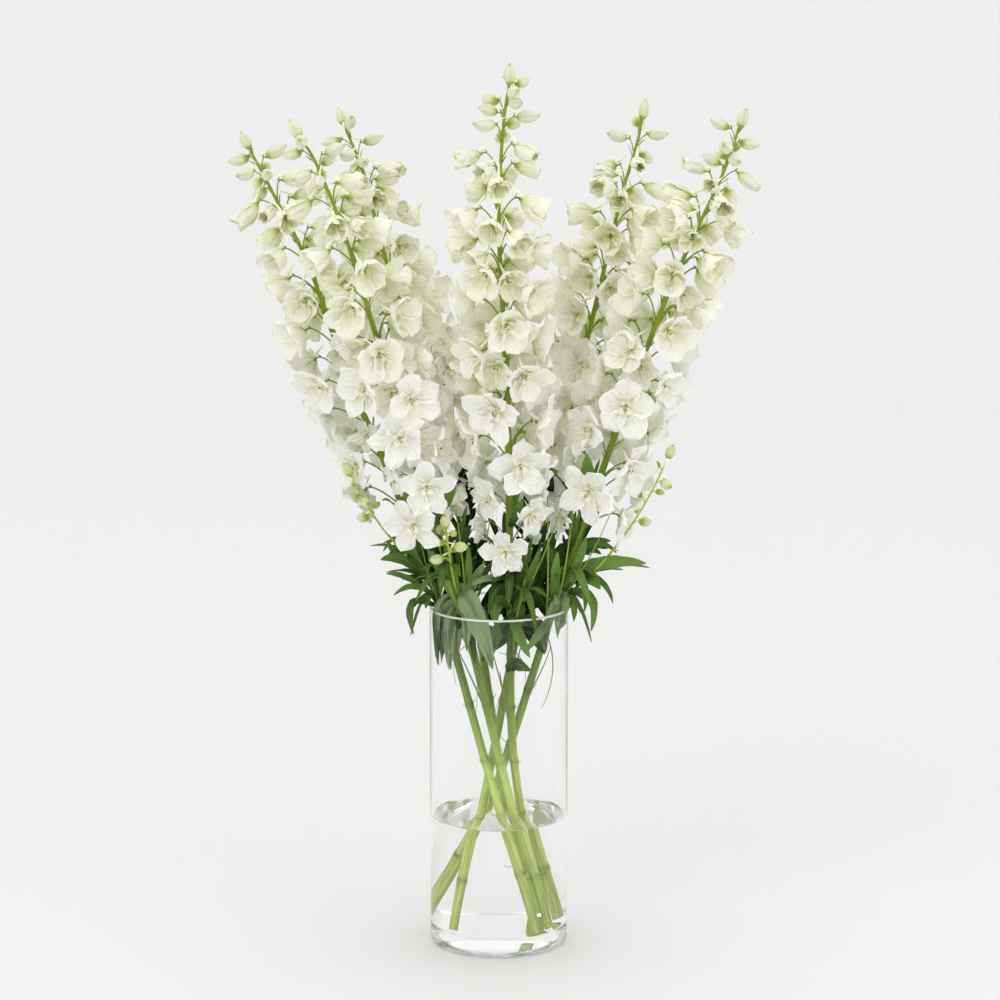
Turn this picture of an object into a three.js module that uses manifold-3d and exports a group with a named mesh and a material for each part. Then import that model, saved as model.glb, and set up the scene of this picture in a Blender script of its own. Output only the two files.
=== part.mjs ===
// A bunch of six white delphinium spikes that stand in a clear glass cylinder vase with water.
// Units are millimetres, +Z is up, and the origin is the centre of the vase's foot.
// Each spike is two meshes: its green leafy stem, and its flower head, which is the rest of the
// stem with the white florets and the pale buds on their stalks.

import * as THREE from 'three';
import { mergeVertices } from 'three/addons/utils/BufferGeometryUtils.js';
import Module from 'manifold-3d';

const wasm = await Module();
wasm.setup();
const { Manifold } = wasm;

// ---- Driving dimensions ----------------------------------------------------------------------

const VASE = { radius: 60, height: 298, wall: 3, floor: 15, edge: 1.5, heel: 4, sides: 40 };
const WATER = { level: 112, sides: 32, holeTo: 0.5 }; // its holes run to this share of each stem
const GAP = 0.35; // between touching pieces

// Each spike: its path from the cut end on the vase floor to the tip, the height where its
// florets begin, the azimuth of the lowest one and the seed of its small irregularities.
const SPIKES = [
  {
    name: 'far_left', lowest: 372, turn: 20, seed: 11,
    path: [[31, -38, 17.4], [-12, -17, 165], [-50, -3, 297], [-92, -1, 410], [-128, 1, 496],
      [-160, 8, 588], [-190, 13, 650], [-210, 16, 688]],
  },
  {
    name: 'left', lowest: 352, turn: 100, seed: 23,
    path: [[39, -22, 17.4], [1, -20, 165], [-31, -25, 297], [-68, -36, 420], [-98, -45, 523],
      [-127, -54, 622], [-150, -60, 682], [-162, -62, 702]],
  },
  {
    name: 'back_left', lowest: 362, turn: 250, seed: 37,
    path: [[18, 40, 17.4], [-2, 30, 165], [-22, 28, 297], [-47, 60, 433], [-69, 74, 500],
      [-100, 90, 592], [-117, 100, 660], [-135, 106, 704]],
  },
  {
    name: 'centre', lowest: 338, turn: 262, seed: 41,
    path: [[36, 13, 17.4], [13, -5, 165], [10, -15, 297], [8, -46, 459], [4, -59, 550],
      [0, -69, 640], [4, -74, 715], [9, -75, 750]],
  },
  {
    name: 'back_right', lowest: 364, turn: 60, seed: 53,
    path: [[-36, -28, 17.4], [-5, 0, 165], [22, 25, 297], [58, 65, 441], [86, 84, 554],
      [106, 96, 638], [121, 103, 690], [125, 105, 708]],
  },
  {
    name: 'far_right', lowest: 356, turn: 200, seed: 67,
    path: [[-42, 20, 17.4], [8, 11, 165], [49, 5, 297], [87, -18, 416], [120, -23, 512],
      [150, -26, 590], [187, -26, 672], [200, -25, 710]],
  },
];

const STEM = { radius: 4.2, tip: 1.1, sunk: 2 };
const LOWER = { sides: 6, steps: 10 }; // below the lowest floret
const UPPER = { sides: 5, steps: 7 }; // along the flower head
const STALK = { radius: 0.9, sides: 3, collar: 1.6, bend: 0.55, lift: 0.22, turn: 0.4, bentFrom: 0.6 };
const RISE = 9.2; // along the stem from one floret to the next
const SPIRAL = 137.5; // degrees round the stem from one floret to the next
const SEPALS = 5;
const CLEAR = 2.4; // how much nearer a floret stays to its own stem than to any other
const SHRINK = { step: 0.94, least: 0.55 }; // smaller than this, a crowded floret isn't there

// How a floret grows from the foot of the flower head (at 0) to the tip (at 1).
// A sepal leaves the flower's axis at the angle base and ends at the angle lip; petal is its
// length and stretch draws the flower out. The stalk climbs by rise and stands out by out, and
// the flower faces tilt degrees above square to the stem.
const STAGES = [
  { at: 0.0, base: 78, lip: 66, petal: 26, stretch: 1.0, rise: 24, out: 28, tilt: -8 },
  { at: 0.3, base: 75, lip: 46, petal: 27, stretch: 1.0, rise: 24, out: 26, tilt: -12 },
  { at: 0.55, base: 70, lip: 16, petal: 28, stretch: 1.0, rise: 20, out: 22, tilt: -16 },
  { at: 0.78, base: 66, lip: -6, petal: 27, stretch: 1.0, rise: 17, out: 16, tilt: -18 },
  { at: 0.87, base: 66, lip: -36, petal: 24, stretch: 1.05, rise: 15, out: 12, tilt: -12 },
  { at: 0.89, base: 80, lip: -80, petal: 21, stretch: 1.45, rise: 13, out: 10, tilt: -4 },
  { at: 1.0, base: 80, lip: -80, petal: 16, stretch: 1.45, rise: 8, out: 7, tilt: 20 },
];
const TIP_BUD = { rise: 3, out: 0, tilt: 82 }; // the bud that ends the spike points along it
const BUD = { lip: -60, rings: [0.3, 0.68] }; // sepals that end past this angle close a bud
const SEPAL = { belly: 0.48, notch: 0.7, well: 0.16, wellLeast: 1.8, flatBelow: 0.3 };
const SPUR = { length: 0.55, radius: 1.9, sides: 3, lift: 30, from: 0.62, depth: 0.5, seat: 3.4 };
const JITTER = { azimuth: 9, rise: 1.6, size: 0.07, roll: 14, tilt: 8, yaw: 9 };

// Leaves: the spike that each grows on, the height of its foot and the azimuth that it leaves in,
// 0 to the right and 90 to the back. The stalk's length and the blade's beyond it are level
// lengths; the leaf leaves its foot at a slope and falls away from that with the distance squared.
const LEAVES = [
  { spike: 'far_left', at: 332, azimuth: 184, stalk: 14, blade: 38, width: 11, slope: 0.9, fall: 0.55 },
  { spike: 'far_left', at: 314, azimuth: 172, stalk: 12, blade: 32, width: 10, slope: 0.9, fall: 0.65 },
  { spike: 'far_left', at: 304, azimuth: 204, stalk: 7, blade: 21, width: 9, slope: 1.3, fall: 2.7 },
  { spike: 'far_left', at: 346, azimuth: 138, stalk: 14, blade: 34, width: 11, slope: 0.9, fall: 1.1 },
  { spike: 'left', at: 318, azimuth: 222, stalk: 14, blade: 34, width: 11, slope: 1.3, fall: 1.5 },
  { spike: 'left', at: 334, azimuth: 258, stalk: 12, blade: 32, width: 11, slope: 1.1, fall: 1.4 },
  { spike: 'left', at: 296, azimuth: 296, stalk: 6, blade: 19, width: 10, slope: 0.7, fall: 2.5 },
  { spike: 'centre', at: 310, azimuth: 248, stalk: 14, blade: 34, width: 11, slope: 1.4, fall: 1.6 },
  { spike: 'centre', at: 304, azimuth: 300, stalk: 14, blade: 36, width: 11, slope: 1.5, fall: 1.8 },
  { spike: 'centre', at: 328, azimuth: 272, stalk: 10, blade: 30, width: 11, slope: 0.9, fall: 1.4 },
  { spike: 'centre', at: 290, azimuth: 268, stalk: 6, blade: 18, width: 9, slope: 0.6, fall: 2.3 },
  { spike: 'far_right', at: 308, azimuth: 352, stalk: 16, blade: 62, width: 12, slope: 0.8, fall: 0.48 },
  { spike: 'far_right', at: 302, azimuth: 332, stalk: 9, blade: 26, width: 9, slope: 1.3, fall: 2.3 },
  { spike: 'far_right', at: 336, azimuth: 8, stalk: 12, blade: 32, width: 10, slope: 0.9, fall: 0.7 },
  { spike: 'far_right', at: 324, azimuth: 288, stalk: 14, blade: 34, width: 11, slope: 1.1, fall: 1.5 },
  { spike: 'back_right', at: 320, azimuth: 30, stalk: 16, blade: 38, width: 11, slope: 1.0, fall: 1.2 },
  { spike: 'back_right', at: 306, azimuth: 62, stalk: 14, blade: 36, width: 11, slope: 1.4, fall: 1.9 },
  { spike: 'back_right', at: 336, azimuth: 90, stalk: 12, blade: 32, width: 11, slope: 0.9, fall: 1.1 },
  { spike: 'back_left', at: 322, azimuth: 140, stalk: 16, blade: 38, width: 11, slope: 1.0, fall: 1.2 },
  { spike: 'back_left', at: 306, azimuth: 112, stalk: 14, blade: 36, width: 11, slope: 1.4, fall: 1.9 },
  { spike: 'back_left', at: 338, azimuth: 84, stalk: 12, blade: 30, width: 11, slope: 0.9, fall: 1.1 },
];
const LEAF = { thick: 0.8, foot: 2.6, sinus: 0.3, fullest: 0.42, spread: 48, side: 0.76, cup: 0.006 };

// Side shoots with small green buds: the spike, the height of the foot, the azimuth, and how far
// the tip stands out and climbs.
const SHOOTS = [
  { spike: 'far_right', at: 300, azimuth: 338, reach: 100, climb: 132, turn: 30 },
  { spike: 'far_left', at: 330, azimuth: 196, reach: 66, climb: 84, turn: 150 },
  { spike: 'left', at: 306, azimuth: 252, reach: 34, climb: 70, turn: 200 },
];
const SHOOT = { radius: 1.2, sides: 3, steps: 4, buds: 4, from: 0.6, to: 0.98, bendOut: 0.62, bendUp: 0.34 };
const SHOOT_BUD = { base: 84, lip: -84, petal: 12, stretch: 1.2, rise: 5, out: 5, tilt: 25 };

const COLOURS = {
  glass: { color: 0xe9eeec, roughness: 0.05, metalness: 0, transparent: true, opacity: 0.3 },
  water: { color: 0xdfe8e4, roughness: 0.05, metalness: 0, transparent: true, opacity: 0.4 },
  green: { color: 0x8fae55, roughness: 0.6, metalness: 0 },
  white: { color: 0xf4f3ea, roughness: 0.6, metalness: 0 },
};

// ---- Small helpers ---------------------------------------------------------------------------

const radians = THREE.MathUtils.degToRad;
const vector = (x, y, z) => new THREE.Vector3(x, y, z);

/** A repeatable stream of numbers between 0 and 1. */
function randomFrom(seed) {
  let state = seed;
  return () => {
    state = (state * 16807) % 2147483647;
    return state / 2147483647;
  };
}

/** The closed solid of a geometry, with its shared corners merged. */
function solidOf(geometry) {
  const bare = geometry.clone();
  bare.deleteAttribute('normal');
  bare.deleteAttribute('uv');
  const merged = mergeVertices(bare, 1e-4);
  const vertProperties = Float32Array.from(merged.attributes.position.array);
  const triVerts = Uint32Array.from(merged.index.array);
  return new Manifold(new wasm.Mesh({ numProp: 3, vertProperties, triVerts }));
}

/** The solid as a geometry again. */
function geometryOf(solid) {
  const { numProp, vertProperties, triVerts } = solid.getMesh();
  const geometry = new THREE.BufferGeometry();
  const position = new Float32Array((vertProperties.length / numProp) * 3);
  for (let i = 0; i < position.length / 3; i += 1) {
    position.set(vertProperties.subarray(i * numProp, i * numProp + 3), i * 3);
  }
  geometry.setAttribute('position', new THREE.BufferAttribute(position, 3));
  geometry.setIndex(new THREE.BufferAttribute(triVerts, 1));
  geometry.computeVertexNormals();
  return geometry;
}

function meshOf(name, solid, look) {
  const mesh = new THREE.Mesh(geometryOf(solid), new THREE.MeshStandardMaterial(look));
  mesh.name = name;
  return mesh;
}

/** Two directions square to the heading: right as seen from the front, and to the back. */
function sidesOf(heading) {
  const right = vector(1, 0, 0).addScaledVector(heading, -heading.x).normalize();
  const back = heading.clone().cross(right);
  return { right, back };
}

/** The direction square to the heading at an azimuth, 0 to the right and 90 to the back. */
function outwards(heading, azimuth) {
  const { right, back } = sidesOf(heading);
  const angle = radians(azimuth);
  return right.multiplyScalar(Math.cos(angle)).addScaledVector(back, Math.sin(angle));
}

/** A round bar of changing radius along a stretch of a curve: a cylinder bent to it. */
function bar(curve, [from, to], radiusAt, sides, steps) {
  const geometry = new THREE.CylinderGeometry(1, 1, 1, sides, steps);
  const position = geometry.attributes.position;
  for (let i = 0; i < position.count; i += 1) {
    const along = THREE.MathUtils.lerp(from, to, position.getY(i) + 0.5);
    const { right, back } = sidesOf(curve.getTangentAt(along));
    const point = curve.getPointAt(along);
    const radius = radiusAt(along);
    point.addScaledVector(right, position.getX(i) * radius);
    point.addScaledVector(back, -position.getZ(i) * radius);
    position.setXYZ(i, point.x, point.y, point.z);
  }
  return solidOf(geometry);
}

/**
 * A closed solid that runs through rings of points with different counts. A ring is a list of
 * points in order round the axis; neighbouring rings are stitched by their share of the way
 * round, and each end is closed, a ring of one point to itself and a wider one by a fan.
 */
function shell(rings) {
  const starts = [];
  let total = 0;
  rings.forEach((ring) => {
    starts.push(total);
    total += ring.length;
  });
  const triangles = [];
  for (let n = 1; n < rings.length; n += 1) {
    const [near, far] = [rings[n - 1].length, rings[n].length];
    let [i, j] = [0, 0];
    while (i < (near > 1 ? near : 0) || j < (far > 1 ? far : 0)) {
      const here = starts[n - 1] + (i % near);
      const there = starts[n] + (j % far);
      const stepNear = far === 1 || (near > 1 && i < near && (i + 0.5) / near <= (j + 0.5) / far);
      if (stepNear) {
        i += 1;
        triangles.push([here, starts[n - 1] + (i % near), there]);
      } else {
        j += 1;
        triangles.push([here, starts[n] + (j % far), there]);
      }
    }
  }
  const first = rings[0].length;
  for (let i = 1; i < first - 1; i += 1) {
    triangles.push([0, i + 1, i]);
  }
  const geometry = new THREE.BufferGeometry().setFromPoints(rings.flat());
  geometry.setIndex(triangles.flat());
  return solidOf(geometry);
}

// ---- Vase and water --------------------------------------------------------------------------

function vase() {
  const { radius, height, wall, floor, edge, heel, sides } = VASE;
  const inner = radius - wall;
  const profile = [
    [0, 0], [radius - heel, 0], [radius, heel], [radius, height - edge], [radius - edge, height],
    [inner, height - edge], [inner, floor + heel], [inner - heel, floor], [0, floor],
  ].map(([x, y]) => new THREE.Vector2(x, y));
  const geometry = new THREE.LatheGeometry(profile, sides);
  geometry.rotateX(Math.PI / 2);
  return solidOf(geometry);
}

function water() {
  const { radius, wall, floor, heel } = VASE;
  const inner = radius - wall - GAP;
  const bottom = floor + GAP;
  const profile = [
    [0, bottom], [inner - heel, bottom], [inner, bottom + heel], [inner, WATER.level],
    [0, WATER.level],
  ].map(([x, y]) => new THREE.Vector2(x, y));
  const geometry = new THREE.LatheGeometry(profile, WATER.sides);
  geometry.rotateX(Math.PI / 2);
  return solidOf(geometry);
}

// ---- Florets ---------------------------------------------------------------------------------

/** The growth stage at a share of the flowering part, between the two nearest in STAGES. */
function stageAt(share) {
  const next = Math.max(1, STAGES.findIndex((stage) => stage.at >= share));
  const [low, high] = [STAGES[next - 1], STAGES[next]];
  const blend = (share - low.at) / (high.at - low.at);
  return Object.fromEntries(
    Object.keys(low).map((key) => [key, THREE.MathUtils.lerp(low[key], high[key], blend)]),
  );
}

/** Distance from the flower's axis and depth along it, at a share of the sepal's length. */
function sepalAt({ base, lip, petal, stretch }, share) {
  const [start, end] = [radians(base), radians(lip)];
  const angle = THREE.MathUtils.lerp(start, end, share);
  const length = petal / (end - start);
  return {
    radius: length * (Math.cos(start) - Math.cos(angle)),
    depth: length * (Math.sin(angle) - Math.sin(start)) * stretch,
  };
}

/** The point of a flower at an angle round its axis, a radius and a depth. */
function flowerPoint(flower, angle, radius, depth) {
  return flower.root.clone()
    .addScaledVector(flower.side, radius * Math.sin(angle))
    .addScaledVector(flower.up, radius * Math.cos(angle))
    .addScaledVector(flower.facing, depth);
}

const sepalAngle = (sepal) => (sepal * 2 * Math.PI) / SEPALS;

/** The tips of a flower's five sepals and the middle of its mouth. */
function reachOf(flower) {
  const tip = sepalAt(flower, 1);
  const tips = Array.from({ length: SEPALS }, (_, sepal) => (
    flowerPoint(flower, sepalAngle(sepal), tip.radius, tip.depth)));
  return [...tips, flowerPoint(flower, 0, 0, tip.depth)];
}

/** A ring of points round a flower's axis. */
function ringOf(flower, count, radius, depth) {
  return Array.from({ length: count }, (_, i) => (
    flowerPoint(flower, (i * 2 * Math.PI) / count, radius, depth)));
}

/** The stalk up to the flower: straight on the low ones, and bent outwards on the others. */
function stalkRings(flower) {
  const { foot, heading, facing, root, rise } = flower;
  const knee = foot.clone().lerp(root, STALK.bend).addScaledVector(heading, rise * STALK.lift);
  const lean = root.clone().sub(foot).normalize();
  const ringAt = (centre, direction) => {
    const side = direction.clone().cross(flower.up).normalize();
    const up = side.clone().cross(direction);
    return ringOf({ root: centre, side, up, facing: direction }, STALK.sides, STALK.radius, 0);
  };
  const straight = [ringAt(foot, lean)];
  if (flower.share < STALK.bentFrom) return straight;
  return [...straight, ringAt(knee, lean.lerp(facing, STALK.turn).normalize())];
}

/** A flower on its stalk: pointed sepals round a deep throat, or a closed bud. */
function flowerSolid(flower) {
  const at = (share, count) => {
    const { radius, depth } = sepalAt(flower, share);
    return ringOf(flower, count, radius, depth);
  };
  const rings = [...stalkRings(flower), ringOf(flower, STALK.sides, STALK.collar, 0)];
  const tip = sepalAt(flower, 1);
  if (flower.lip < BUD.lip) {
    rings.push(...BUD.rings.map((share) => at(share, SEPALS)));
    rings.push([flowerPoint(flower, 0, 0, tip.depth)]);
    return shell(rings);
  }
  const notch = sepalAt(flower, SEPAL.notch);
  const rim = Array.from({ length: 2 * SEPALS }, (_, i) => {
    const { radius, depth } = i % 2 === 0 ? tip : notch;
    return flowerPoint(flower, (i * Math.PI) / SEPALS, radius, depth);
  });
  const well = Math.max(SEPAL.well * tip.depth, SEPAL.wellLeast);
  if (flower.share >= SEPAL.flatBelow) {
    rings.push(at(SEPAL.belly, SEPALS));
  }
  return shell([...rings, rim, [flowerPoint(flower, 0, 0, well)]]);
}

/** The slim spur behind a flower, a pointed cone that stands back and up. */
function spur(flower) {
  const seat = flowerPoint(flower, 0, SPUR.seat, SPUR.depth);
  const lift = radians(SPUR.lift);
  const along = flower.facing.clone().multiplyScalar(-Math.cos(lift))
    .addScaledVector(flower.up, Math.sin(lift));
  const up = flower.side.clone().cross(along);
  const frame = { root: seat, side: flower.side, up, facing: along };
  const end = seat.clone().addScaledVector(along, SPUR.length * flower.petal + SPUR.depth);
  return shell([ringOf(frame, SPUR.sides, SPUR.radius, 0), [end]]);
}

// ---- Spikes ----------------------------------------------------------------------------------

const axes = Object.fromEntries(SPIKES.map(({ name, path }) => [
  name,
  new THREE.CatmullRomCurve3(path.map((point) => vector(...point)), false, 'catmullrom', 0.5),
]));
const AXIS_SAMPLES = 120;
const axisPoints = Object.fromEntries(Object.entries(axes).map(([name, axis]) => [
  name, axis.getSpacedPoints(AXIS_SAMPLES),
]));

/** The share of a spike's length where its axis passes a height. */
function shareAtHeight(name, height) {
  const points = axisPoints[name];
  const above = Math.max(1, points.findIndex((point) => point.z >= height));
  const [low, high] = [points[above - 1], points[above]];
  return (above - 1 + (height - low.z) / (high.z - low.z)) / AXIS_SAMPLES;
}

/** The level distance from a point to a spike's axis. */
function distanceToAxis(point, name) {
  const points = axisPoints[name];
  const height = Math.min(point.z, points[AXIS_SAMPLES].z);
  const share = shareAtHeight(name, height) * AXIS_SAMPLES;
  const low = Math.min(Math.floor(share), AXIS_SAMPLES - 1);
  const axis = points[low].clone().lerp(points[low + 1], share - low);
  return Math.hypot(point.x - axis.x, point.y - axis.y);
}

/** Whether every point lies nearer to its own spike than to any other, with room to spare. */
function keepsClear(points, name) {
  const others = SPIKES.filter((spike) => spike.name !== name);
  return points.every((point) => {
    const own = distanceToAxis(point, name);
    return others.every((other) => distanceToAxis(point, other.name) - own >= CLEAR);
  });
}

const NO_DRAW = { size: 0, roll: 0, tilt: 0, yaw: 0 };

/** One flower placed on its stem, with its irregularities drawn before, at a scale. */
function placeFlower(axis, along, azimuth, stage, draw = NO_DRAW, scale = 1) {
  const foot = axis.getPointAt(along);
  const heading = axis.getTangentAt(along);
  const out = outwards(heading, azimuth);
  const tilt = radians(stage.tilt + draw.tilt);
  const yawed = outwards(heading, azimuth + draw.yaw);
  const facing = yawed.multiplyScalar(Math.cos(tilt)).addScaledVector(heading, Math.sin(tilt));
  const upright = heading.clone().addScaledVector(facing, -heading.dot(facing)).normalize();
  const up = upright.applyAxisAngle(facing, radians(draw.roll));
  const side = facing.clone().cross(up);
  const root = foot.clone()
    .addScaledVector(heading, stage.rise * scale)
    .addScaledVector(out, stage.out * scale);
  const petal = stage.petal * scale * (1 + draw.size);
  return { ...stage, foot, heading, facing, up, side, root, petal, rise: stage.rise * scale };
}

/** All the flowers of a spike, from the lowest to the bud at its tip. */
function flowersOf(spike) {
  const random = randomFrom(spike.seed);
  const spread = (amount) => (random() * 2 - 1) * amount;
  const axis = axes[spike.name];
  const length = axis.getLength();
  const start = shareAtHeight(spike.name, spike.lowest) + (2 * STEM.sunk) / length;
  const end = 1 - STEM.sunk / length;
  const count = Math.round(((end - start) * length) / RISE);
  const flowers = [];
  for (let n = 0; n < count; n += 1) {
    const share = n / (count - 1);
    const along = Math.min(THREE.MathUtils.lerp(start, end, share) + spread(JITTER.rise) / length, end);
    const azimuth = spike.turn + n * SPIRAL + spread(JITTER.azimuth);
    const draw = {
      size: spread(JITTER.size), roll: spread(JITTER.roll),
      tilt: spread(JITTER.tilt), yaw: spread(JITTER.yaw),
    };
    const stage = n === count - 1 ? { ...stageAt(1), ...TIP_BUD } : stageAt(share);
    let scale = 1;
    let flower = placeFlower(axis, along, azimuth, stage, draw);
    while (scale > SHRINK.least && !keepsClear(reachOf(flower), spike.name)) {
      scale *= SHRINK.step;
      flower = placeFlower(axis, along, azimuth, stage, draw, scale);
    }
    if (scale > SHRINK.least) {
      flowers.push({ ...flower, share });
    }
  }
  return flowers;
}

/** A stretch of a spike's stem, which grows thinner along the flower head. */
function stem(spike, [from, to], { sides, steps }, grown = 0) {
  const start = shareAtHeight(spike.name, spike.lowest);
  const radiusAt = (along) => {
    const share = Math.max(0, (along - start) / (1 - start));
    return STEM.tip + (STEM.radius - STEM.tip) * (1 - share * share) + grown;
  };
  return bar(axes[spike.name], [from, to], radiusAt, sides, steps);
}

// ---- Leaves ----------------------------------------------------------------------------------

/** The outline of a leaf along +X from its foot: a narrow stalk, then three pointed lobes. */
function leafOutline({ stalk, blade, width }) {
  const half = LEAF.foot / 2;
  const outline = new THREE.Shape();
  outline.moveTo(0, -half);
  outline.lineTo(stalk, -half);
  [-LEAF.spread, 0, LEAF.spread].forEach((angle, i) => {
    const length = i === 1 ? blade : blade * LEAF.side;
    const along = new THREE.Vector2(Math.cos(radians(angle)), Math.sin(radians(angle)));
    const across = new THREE.Vector2(-along.y, along.x);
    [[LEAF.fullest, -1], [1, 0], [LEAF.fullest, 1]].forEach(([far, wide]) => {
      const corner = along.clone().multiplyScalar(far * length);
      corner.addScaledVector(across, (wide * width) / 2);
      outline.lineTo(stalk + corner.x, corner.y);
    });
    if (i < 2) {
      const cut = radians(angle + LEAF.spread / 2);
      const depth = LEAF.sinus * blade;
      outline.lineTo(stalk + Math.cos(cut) * depth, Math.sin(cut) * depth);
    }
  });
  outline.lineTo(stalk, half);
  outline.lineTo(0, half);
  outline.closePath();
  return outline;
}

/** A thin leaf that climbs from the stem and arches over. */
function leaf(spec) {
  const foot = axes[spec.spike].getPointAt(shareAtHeight(spec.spike, spec.at));
  const geometry = new THREE.ExtrudeGeometry(
    leafOutline(spec), { depth: LEAF.thick, bevelEnabled: false, steps: 1 });
  const reach = spec.stalk + spec.blade;
  const position = geometry.attributes.position;
  for (let i = 0; i < position.count; i += 1) {
    const [far, wide] = [position.getX(i), position.getY(i)];
    const arch = spec.slope * far - (spec.fall * far * far) / reach - LEAF.cup * wide * wide;
    position.setZ(i, position.getZ(i) + arch);
  }
  geometry.rotateZ(radians(spec.azimuth));
  geometry.translate(...foot.toArray());
  return solidOf(geometry);
}

/** A thin side shoot that curves upwards, with green buds along its upper half. */
function shoot(spec) {
  const foot = axes[spec.spike].getPointAt(shareAtHeight(spec.spike, spec.at));
  const angle = radians(spec.azimuth);
  const reach = vector(Math.cos(angle) * spec.reach, Math.sin(angle) * spec.reach, 0);
  const knee = foot.clone().addScaledVector(reach, SHOOT.bendOut);
  knee.z += spec.climb * SHOOT.bendUp;
  const end = foot.clone().add(reach).add(vector(0, 0, spec.climb));
  const curve = new THREE.QuadraticBezierCurve3(foot, knee, end);
  const buds = Array.from({ length: SHOOT.buds }, (_, n) => {
    const share = n / (SHOOT.buds - 1);
    const along = THREE.MathUtils.lerp(SHOOT.from, SHOOT.to, share);
    const stage = share < 1 ? SHOOT_BUD : { ...SHOOT_BUD, ...TIP_BUD };
    return flowerSolid({ ...placeFlower(curve, along, spec.turn + n * SPIRAL, stage), share: 0 });
  });
  const twig = bar(curve, [0, 1], () => SHOOT.radius, SHOOT.sides, SHOOT.steps);
  return Manifold.union([twig, ...buds]);
}

// ---- Assembly --------------------------------------------------------------------------------

/** The largest of a solid's separate bodies. */
function mainBody(solid) {
  return solid.decompose().sort((a, b) => b.volume() - a.volume())[0];
}

function leafyStem(spike, cut) {
  const isOwn = (spec) => spec.spike === spike.name;
  const stretch = stem(spike, [0, cut], LOWER);
  const growth = [...LEAVES.filter(isOwn).map(leaf), ...SHOOTS.filter(isOwn).map(shoot)];
  return mainBody(Manifold.union([stretch, ...growth]));
}

function flowerHead(spike, cut) {
  const flowers = flowersOf(spike);
  const spurred = flowers.filter(({ share, lip }) => share > SPUR.from && lip >= BUD.lip);
  const stretch = stem(spike, [cut, 1], UPPER);
  return mainBody(Manifold.union([stretch, ...flowers.map(flowerSolid), ...spurred.map(spur)]));
}

const bunch = new THREE.Group();
bunch.add(meshOf('glass_vase', vase(), COLOURS.glass));
const holes = SPIKES.map((spike) => stem(spike, [0, WATER.holeTo], LOWER, GAP));
bunch.add(meshOf('water', water().subtract(Manifold.union(holes)), COLOURS.water));
SPIKES.forEach((spike) => {
  const cut = shareAtHeight(spike.name, spike.lowest);
  const space = GAP / axes[spike.name].getLength();
  bunch.add(meshOf(`${spike.name}_leafy_stem`, leafyStem(spike, cut - space), COLOURS.green));
  bunch.add(meshOf(`${spike.name}_flower_head`, flowerHead(spike, cut), COLOURS.white));
});

export default bunch;
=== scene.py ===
"""A bunch of six white delphinium spikes in a clear glass cylinder vase with water.

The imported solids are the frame, and the pieces here are finer surfaces in their place. Lengths in
the tables are millimetres, +Z is up, and the front is -Y.
"""

import math

import bpy
import numpy as np
from bpy.props import FloatProperty, FloatVectorProperty, PointerProperty
from bpy.types import Operator, Panel, PropertyGroup
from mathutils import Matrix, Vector


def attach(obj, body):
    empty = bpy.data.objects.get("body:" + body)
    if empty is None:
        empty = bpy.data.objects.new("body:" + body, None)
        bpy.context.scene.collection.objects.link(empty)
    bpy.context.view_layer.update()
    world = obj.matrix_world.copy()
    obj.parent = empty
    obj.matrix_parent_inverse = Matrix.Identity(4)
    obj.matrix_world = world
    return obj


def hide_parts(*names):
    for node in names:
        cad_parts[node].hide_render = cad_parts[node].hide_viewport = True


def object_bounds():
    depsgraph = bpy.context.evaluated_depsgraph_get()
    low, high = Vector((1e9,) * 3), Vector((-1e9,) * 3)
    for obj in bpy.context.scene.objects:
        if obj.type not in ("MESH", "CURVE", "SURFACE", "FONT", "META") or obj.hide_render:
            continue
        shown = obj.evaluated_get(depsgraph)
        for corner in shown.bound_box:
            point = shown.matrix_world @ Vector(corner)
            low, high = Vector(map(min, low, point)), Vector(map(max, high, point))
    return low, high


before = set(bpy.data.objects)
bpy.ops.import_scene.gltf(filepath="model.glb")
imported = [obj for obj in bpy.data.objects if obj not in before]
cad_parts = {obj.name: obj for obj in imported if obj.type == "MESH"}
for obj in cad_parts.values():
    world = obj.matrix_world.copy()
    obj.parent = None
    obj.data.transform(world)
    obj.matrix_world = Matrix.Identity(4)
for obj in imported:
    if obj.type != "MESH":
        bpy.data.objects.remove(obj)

CAD_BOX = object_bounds()

bl_info = {
    "name": "Delphinium bunch in a glass vase",
    "version": (1, 0, 0),
    "blender": (4, 5, 0),
    "location": "View3D > Sidebar > Delphinium",
    "description": "Makes the florets, stems, leaves, glass and water of a bunch of delphiniums",
    "category": "Add Mesh",
}

# ---- Driving sizes, in millimetres and degrees ----

MM = 0.001
BODY = "root"

# The glass: with the radii of its rim's edges, its heel and its inner corner, the ring that it
# stands on, and the slope inside that.
VASE = {"radius": 60, "height": 298, "wall": 3, "floor": 15, "edge": 1.5, "heel": 4, "corner": 7,
        "ring": 9, "slope": 5, "ring_edge": 3, "sides": 160}
# The water: its level, how far it laps into the glass, and the width of the rim that climbs it.
WATER = {"level": 112, "lap": 0.15, "rim": 4.5, "rings": 7, "sides": 128}
# Edges of the glass and the water that bend by less are smooth.
CREASE = 80

# What is added to a spike's seed for the random numbers of its parts.
SEEDS = {"inner": 300, "stem": 500, "leaves": 900}

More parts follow.
